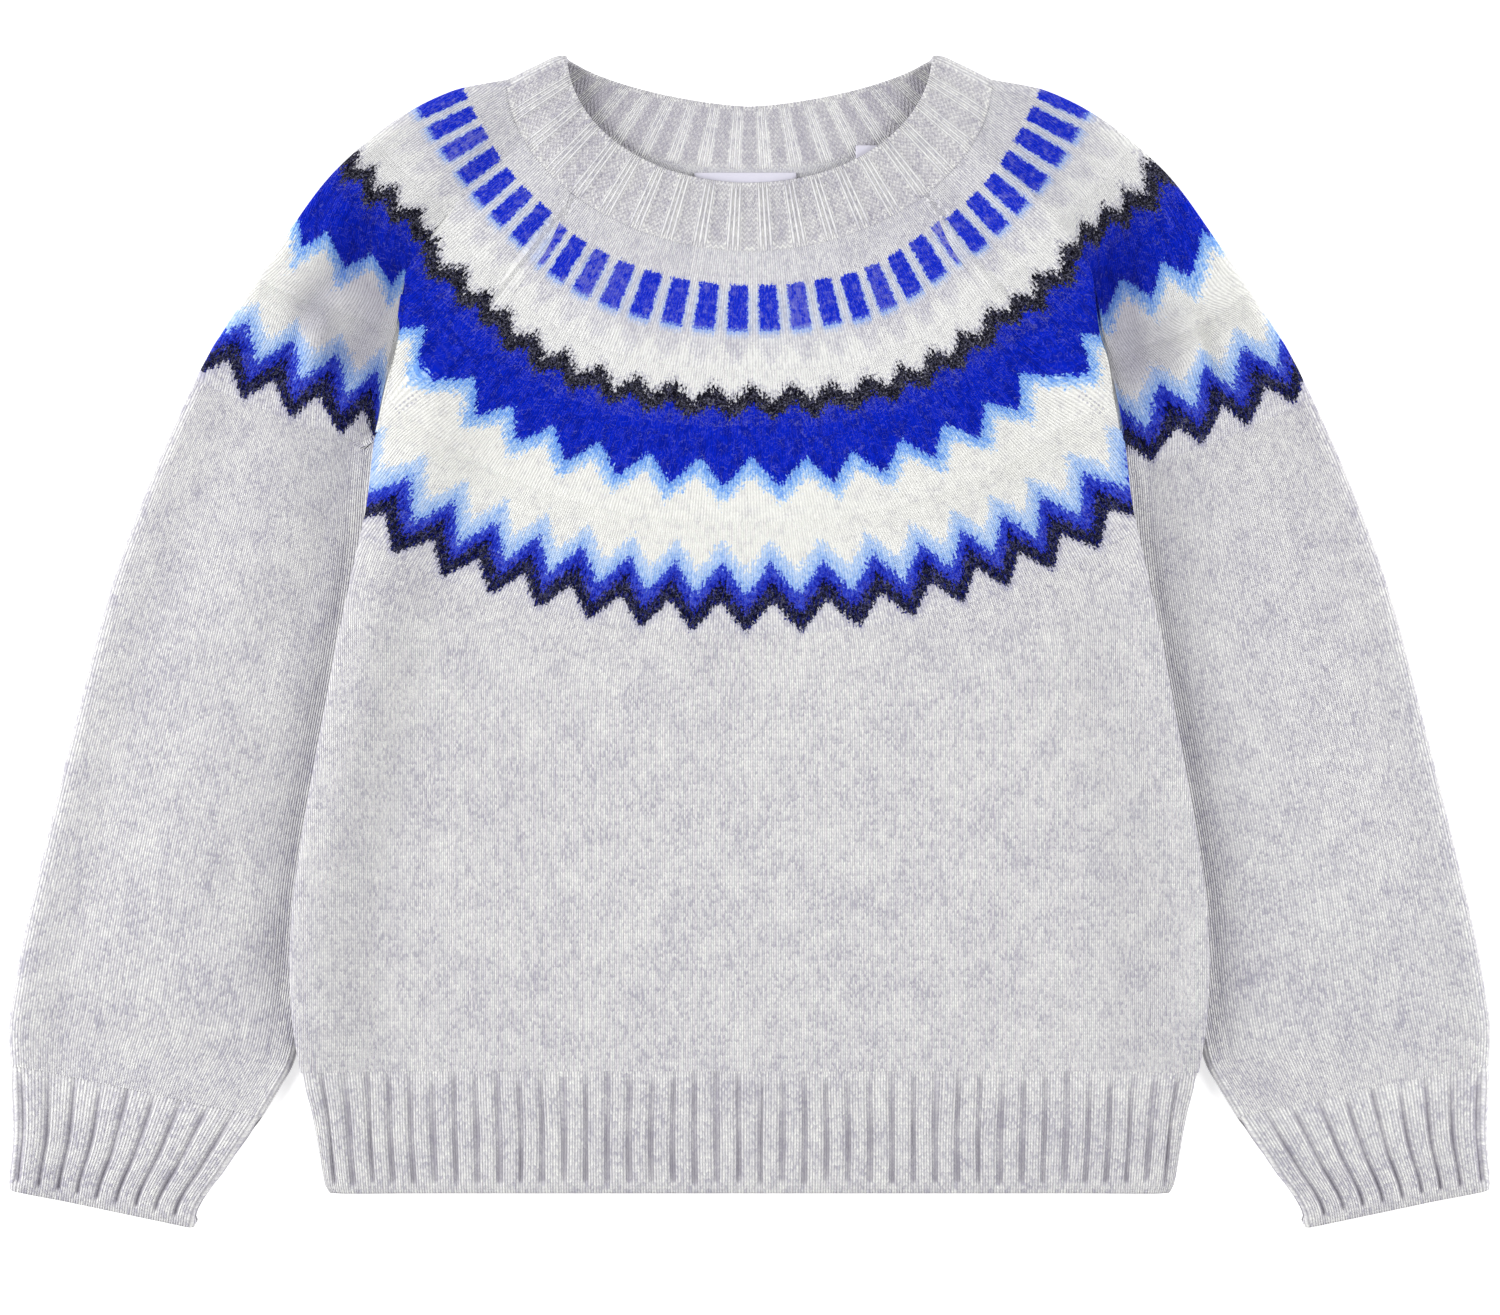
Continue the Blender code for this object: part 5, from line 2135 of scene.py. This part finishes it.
@dataclass
class Neckband:
    """The ribbed band round the neck, folded over at both shoulders."""

    front_ribs: int = 19
    back_ribs: int = 17
    rows: int = 34
    wall: float = 0.0022
    roll: float = 0.0096
    rest: float = 0.0056
    ease_in: float = 0.030
    purl_drop: float = 0.0008
    lap: float = -0.03
    corner: float = 0.0060
    corner_drop: float = 0.0016
    back_below: float = 0.003
    # painted shade in the grooves, more on the back layer inside, and a painted highlight on the raised
    # knit ribs
    back_groove_shade: float = 0.62
    front_groove_shade: float = 0.44
    crest: float = 0.42
    highlight_from: float = 0.80
    stand: float = 0.0004
    bulge: float = 0.0007
    cut: Cut = Cut(0.500, 0.027, 0.0118)

    def shares(self, ribs: float) -> Points:
        """Shares of half a line from the middle to the fold, a few for each rib."""
        phase = (np.arange(int(ribs / 2) + 2)[:, None] + rib_shares(BAND_PROFILE)).ravel()
        return phase[phase < ribs / 2 - 0.01] / (ribs / 2)

    def line(self, layer: Layer, share: float, places: Points) -> Points:
        """Half a row of the band in plan, from the middle to the fold.

        Args:
            layer: the front or the back.
            share: 0 at the seam and 1 at the free edge.
            places: shares of the row's length.

        Returns:
            Points of the row.
        """
        turns = np.linspace(0, 90, 400)
        seam, edge = SEAM_LINES[layer].at(turns), FREE_LINES[layer].at(turns)
        return laid(seam + (edge - seam) * share, places)

    def half_row(self, share: float) -> Points:
        """Half a row of the band, from the front's middle over the fold to the back's."""
        above = 1 - float(ease(share / 0.5))
        roll = Sleeve.sleeve_roll + (self.roll - Sleeve.sleeve_roll) * above
        ease_in = Sleeve.ease_in + (self.ease_in - Sleeve.ease_in) * above
        radius = (roll - self.wall) / 2
        middle = self.wall / 2 + radius
        rows = []
        for layer, ribs in ((Layer.FRONT, self.front_ribs), (Layer.BACK, self.back_ribs)):
            places = np.append(self.shares(ribs), 1.0)
            plan = self.line(layer, share, places)
            step = np.linalg.norm(np.diff(plan, axis=0), axis=1)
            inset = np.append(np.cumsum(step[::-1])[::-1], 0)
            turned = np.sqrt(np.maximum(radius**2 - np.maximum(radius - inset, 0) ** 2, 0))
            if layer is Layer.FRONT:
                base = UPPER + (self.rest - UPPER) * (1 - float(ease(share / 0.25)))
                top = roll - self.wall / 2
                flat = base + (top - base) * ease((inset - radius) / ease_in)
                z = np.where(inset < radius, middle + turned, flat)
            else:
                z = np.where(inset < radius, middle - turned, self.wall / 2)
            rows.append(np.column_stack([plan, z]))
        return np.concatenate([rows[0], rows[1][-2::-1]])

    def rounded(self, half: Points) -> Points:
        """Half of the band with its peak rounded off where the free edge folds over."""
        fold = half[:, len(self.shares(self.front_ribs))]
        peak = fold[-1]
        away = np.linalg.norm(half[..., :2] - peak[:2], axis=2)
        moved = half.copy()
        moved[..., 1] -= self.corner_drop * np.maximum(1 - away / self.corner, 0) ** 2
        return moved

    def build(self, materials: dict[str, bpy.types.Material]) -> None:
        """Builds and dresses the band."""
        half = np.stack([self.half_row(share) for share in np.linspace(self.lap, 1, self.rows)])
        phase_front = self.shares(self.front_ribs) * self.front_ribs / 2
        phase_back = self.shares(self.back_ribs) * self.back_ribs / 2
        total = (self.front_ribs + self.back_ribs) / 2
        phase = np.concatenate([phase_front, [self.front_ribs / 2], total - phase_back[::-1]])
        half = self.rounded(half)
        other = half[:, 1:-1].copy()[:, ::-1]
        other[..., 0] *= -1
        grid = np.concatenate([half, other], 1)
        phases = np.concatenate([phase, phase[1:-1][::-1]])
        share = np.linspace(self.lap, 1, self.rows)[:, None]
        rise = rib_rise(phases, BAND_PROFILE)
        fade = (1 - ease(share / 0.12)) * (1 - ease((1 - share) / 0.09))
        relief = (rise - 1) * self.purl_drop * fade + self.stand
        blank = np.zeros_like(relief)
        inside = grid[..., 2] < self.back_below
        hollow = (1 - rise) * fade * np.where(inside, self.back_groove_shade, self.front_groove_shade)
        # painted highlight on the raised knit ribs
        above = np.maximum(rise - self.highlight_from, 0) / (1 - self.highlight_from)
        hollow -= self.crest * above * fade
        # painted shade in the back layer's inner corners beside the folds, darker on the wearer's right
        for hand, shade, reach in ((Hand.RIGHT, 0.60, 0.024), (Hand.LEFT, 0.28, 0.020)):
            corner = FREE_LINES[Layer.BACK].half - hand.value * grid[..., 0]
            hollow += inside * shade * ease(corner / reach)
        run = share * self.cut.length * 1000
        values = np.stack([phases + blank, run + blank, np.clip(hollow, -1, 1)], -1)
        sheet = ClothSheet(
            "neckband_rib",
            grid,
            self.wall,
            relief,
            {"rib": values},
            closed=True,
            bulges=(0, 0, self.bulge, 0),
        )
        place(sheet.build(), "neckband", materials["neck_rib"])


@dataclass
class Labels:
    """The two blank labels sewn in at the back of the neck."""

    wall: float = 0.0006

    def tape(self, x: tuple[float, float], y: tuple[float, float], z: float, bow: float) -> Points:
        """A grid of a label that bows up a little between its ends."""
        u, v = np.meshgrid(np.linspace(0, 1, 25), np.linspace(0, 1, 9))
        height = z + self.wall / 2 + bow * np.sin(math.pi * u) * (0.6 + 0.4 * v)
        return np.stack([x[0] + (x[1] - x[0]) * u, y[0] + (y[1] - y[0]) * v, height], -1)

    def build(self, materials: dict[str, bpy.types.Material]) -> None:
        """Builds and dresses both labels."""
        for node, x, y, z, bow in (
            ("neck_label", (-0.0218, 0.0186), (0.1725, 0.1866), WALL + 0.0003, 0.0002),
            ("size_tag", (0.0426, 0.0526), (0.1850, 0.1974), 0.0034, 0.0001),
        ):
            grid = self.tape(x, y, z, bow)
            blank = np.zeros(grid.shape[:2])
            sheet = ClothSheet(node + "_tape", grid, self.wall, blank, {}, bulges=(0.0002,) * 4)
            place(sheet.build(), node, materials["label_cloth"])


# ------------------------------------------------------------------ the studio


@dataclass
class Studio:
    """The pale surface, the soft lights and the camera over the sweater."""

    view_width: float = 0.600
    view_centre: tuple[float, float] = (0.0002, -0.0068)
    lens: float = 100.0
    sensor: float = 36.0
    room_light: float = 0.47
    lamp_reach: float = 1.60
    lamp_height: float = 0.90
    lamp_size: tuple[float, float] = (0.6, 1.4)
    lamp_power: float = 34.5

    def build(self) -> None:
        """Sets the surface, the lights and the camera."""
        bpy.ops.object.select_all(action="DESELECT")
        bpy.ops.mesh.primitive_plane_add(size=8.0, location=(0, 0, -0.0002))
        floor = bpy.context.object
        floor.name = "pale_surface"
        bpy.ops.object.transform_apply(location=True)
        floor.data.materials.append(PaleFloor().build())

        world = bpy.data.worlds.new("soft_room")
        bpy.context.scene.world = world
        world.use_nodes = True
        world.node_tree.nodes["Background"].inputs[0].default_value = (1.0, 1.0, 1.0, 1.0)
        world.node_tree.nodes["Background"].inputs[1].default_value = self.room_light

        side_on = self.lamp_reach
        self.lamp("left_softbox", (-side_on, 0.15, self.lamp_height), 1.12)
        self.lamp("right_softbox", (side_on, 0.15, self.lamp_height), 0.88)

        data = bpy.data.cameras.new("flat_lay")
        data.lens = self.lens
        data.sensor_width = self.sensor
        camera = bpy.data.objects.new("flat_lay", data)
        height = self.view_width * self.lens / self.sensor
        camera.location = (*self.view_centre, height)
        bpy.context.scene.collection.objects.link(camera)
        bpy.context.scene.camera = camera
        bpy.context.scene.view_settings.view_transform = "Standard"

    def lamp(self, name: str, where: Vector3, share: float) -> None:
        """Hangs a softbox that points at the sweater, with a share of the lamps' power."""
        data = bpy.data.lights.new(name, "AREA")
        data.shape = "RECTANGLE"
        data.size, data.size_y = self.lamp_size
        data.energy = self.lamp_power * share
        lamp = bpy.data.objects.new(name, data)
        lamp.location = where
        aim = mathutils.Vector(where).to_track_quat("Z", "Y")
        lamp.rotation_euler = aim.to_euler()
        bpy.context.scene.collection.objects.link(lamp)


def main() -> None:
    """Builds the sweater, piece by piece, and its studio."""
    logging.basicConfig(level=logging.INFO, format="%(name)s: %(message)s")
    materials = {
        "yoke_knit": YokeKnit().build(),
        "hem_rib": RibKnit("hem_rib_knit").build(),
        "cuff_rib": RibKnit("cuff_rib_knit").build(),
        "neck_rib": RibKnit("neck_rib_knit", wales=6.5, row=2.0, knit_half=0.235).build(),
        "label_cloth": WovenLabel().build(),
    }
    body = BodyTube()
    body.build(materials)
    HemRib(body).build(materials)
    for hand in Hand:
        Sleeve(hand).build(materials)
        CuffRib(hand).build(materials)
    Neckband().build(materials)
    Labels().build(materials)
    Studio().build()


if __name__ == "__main__":
    main()
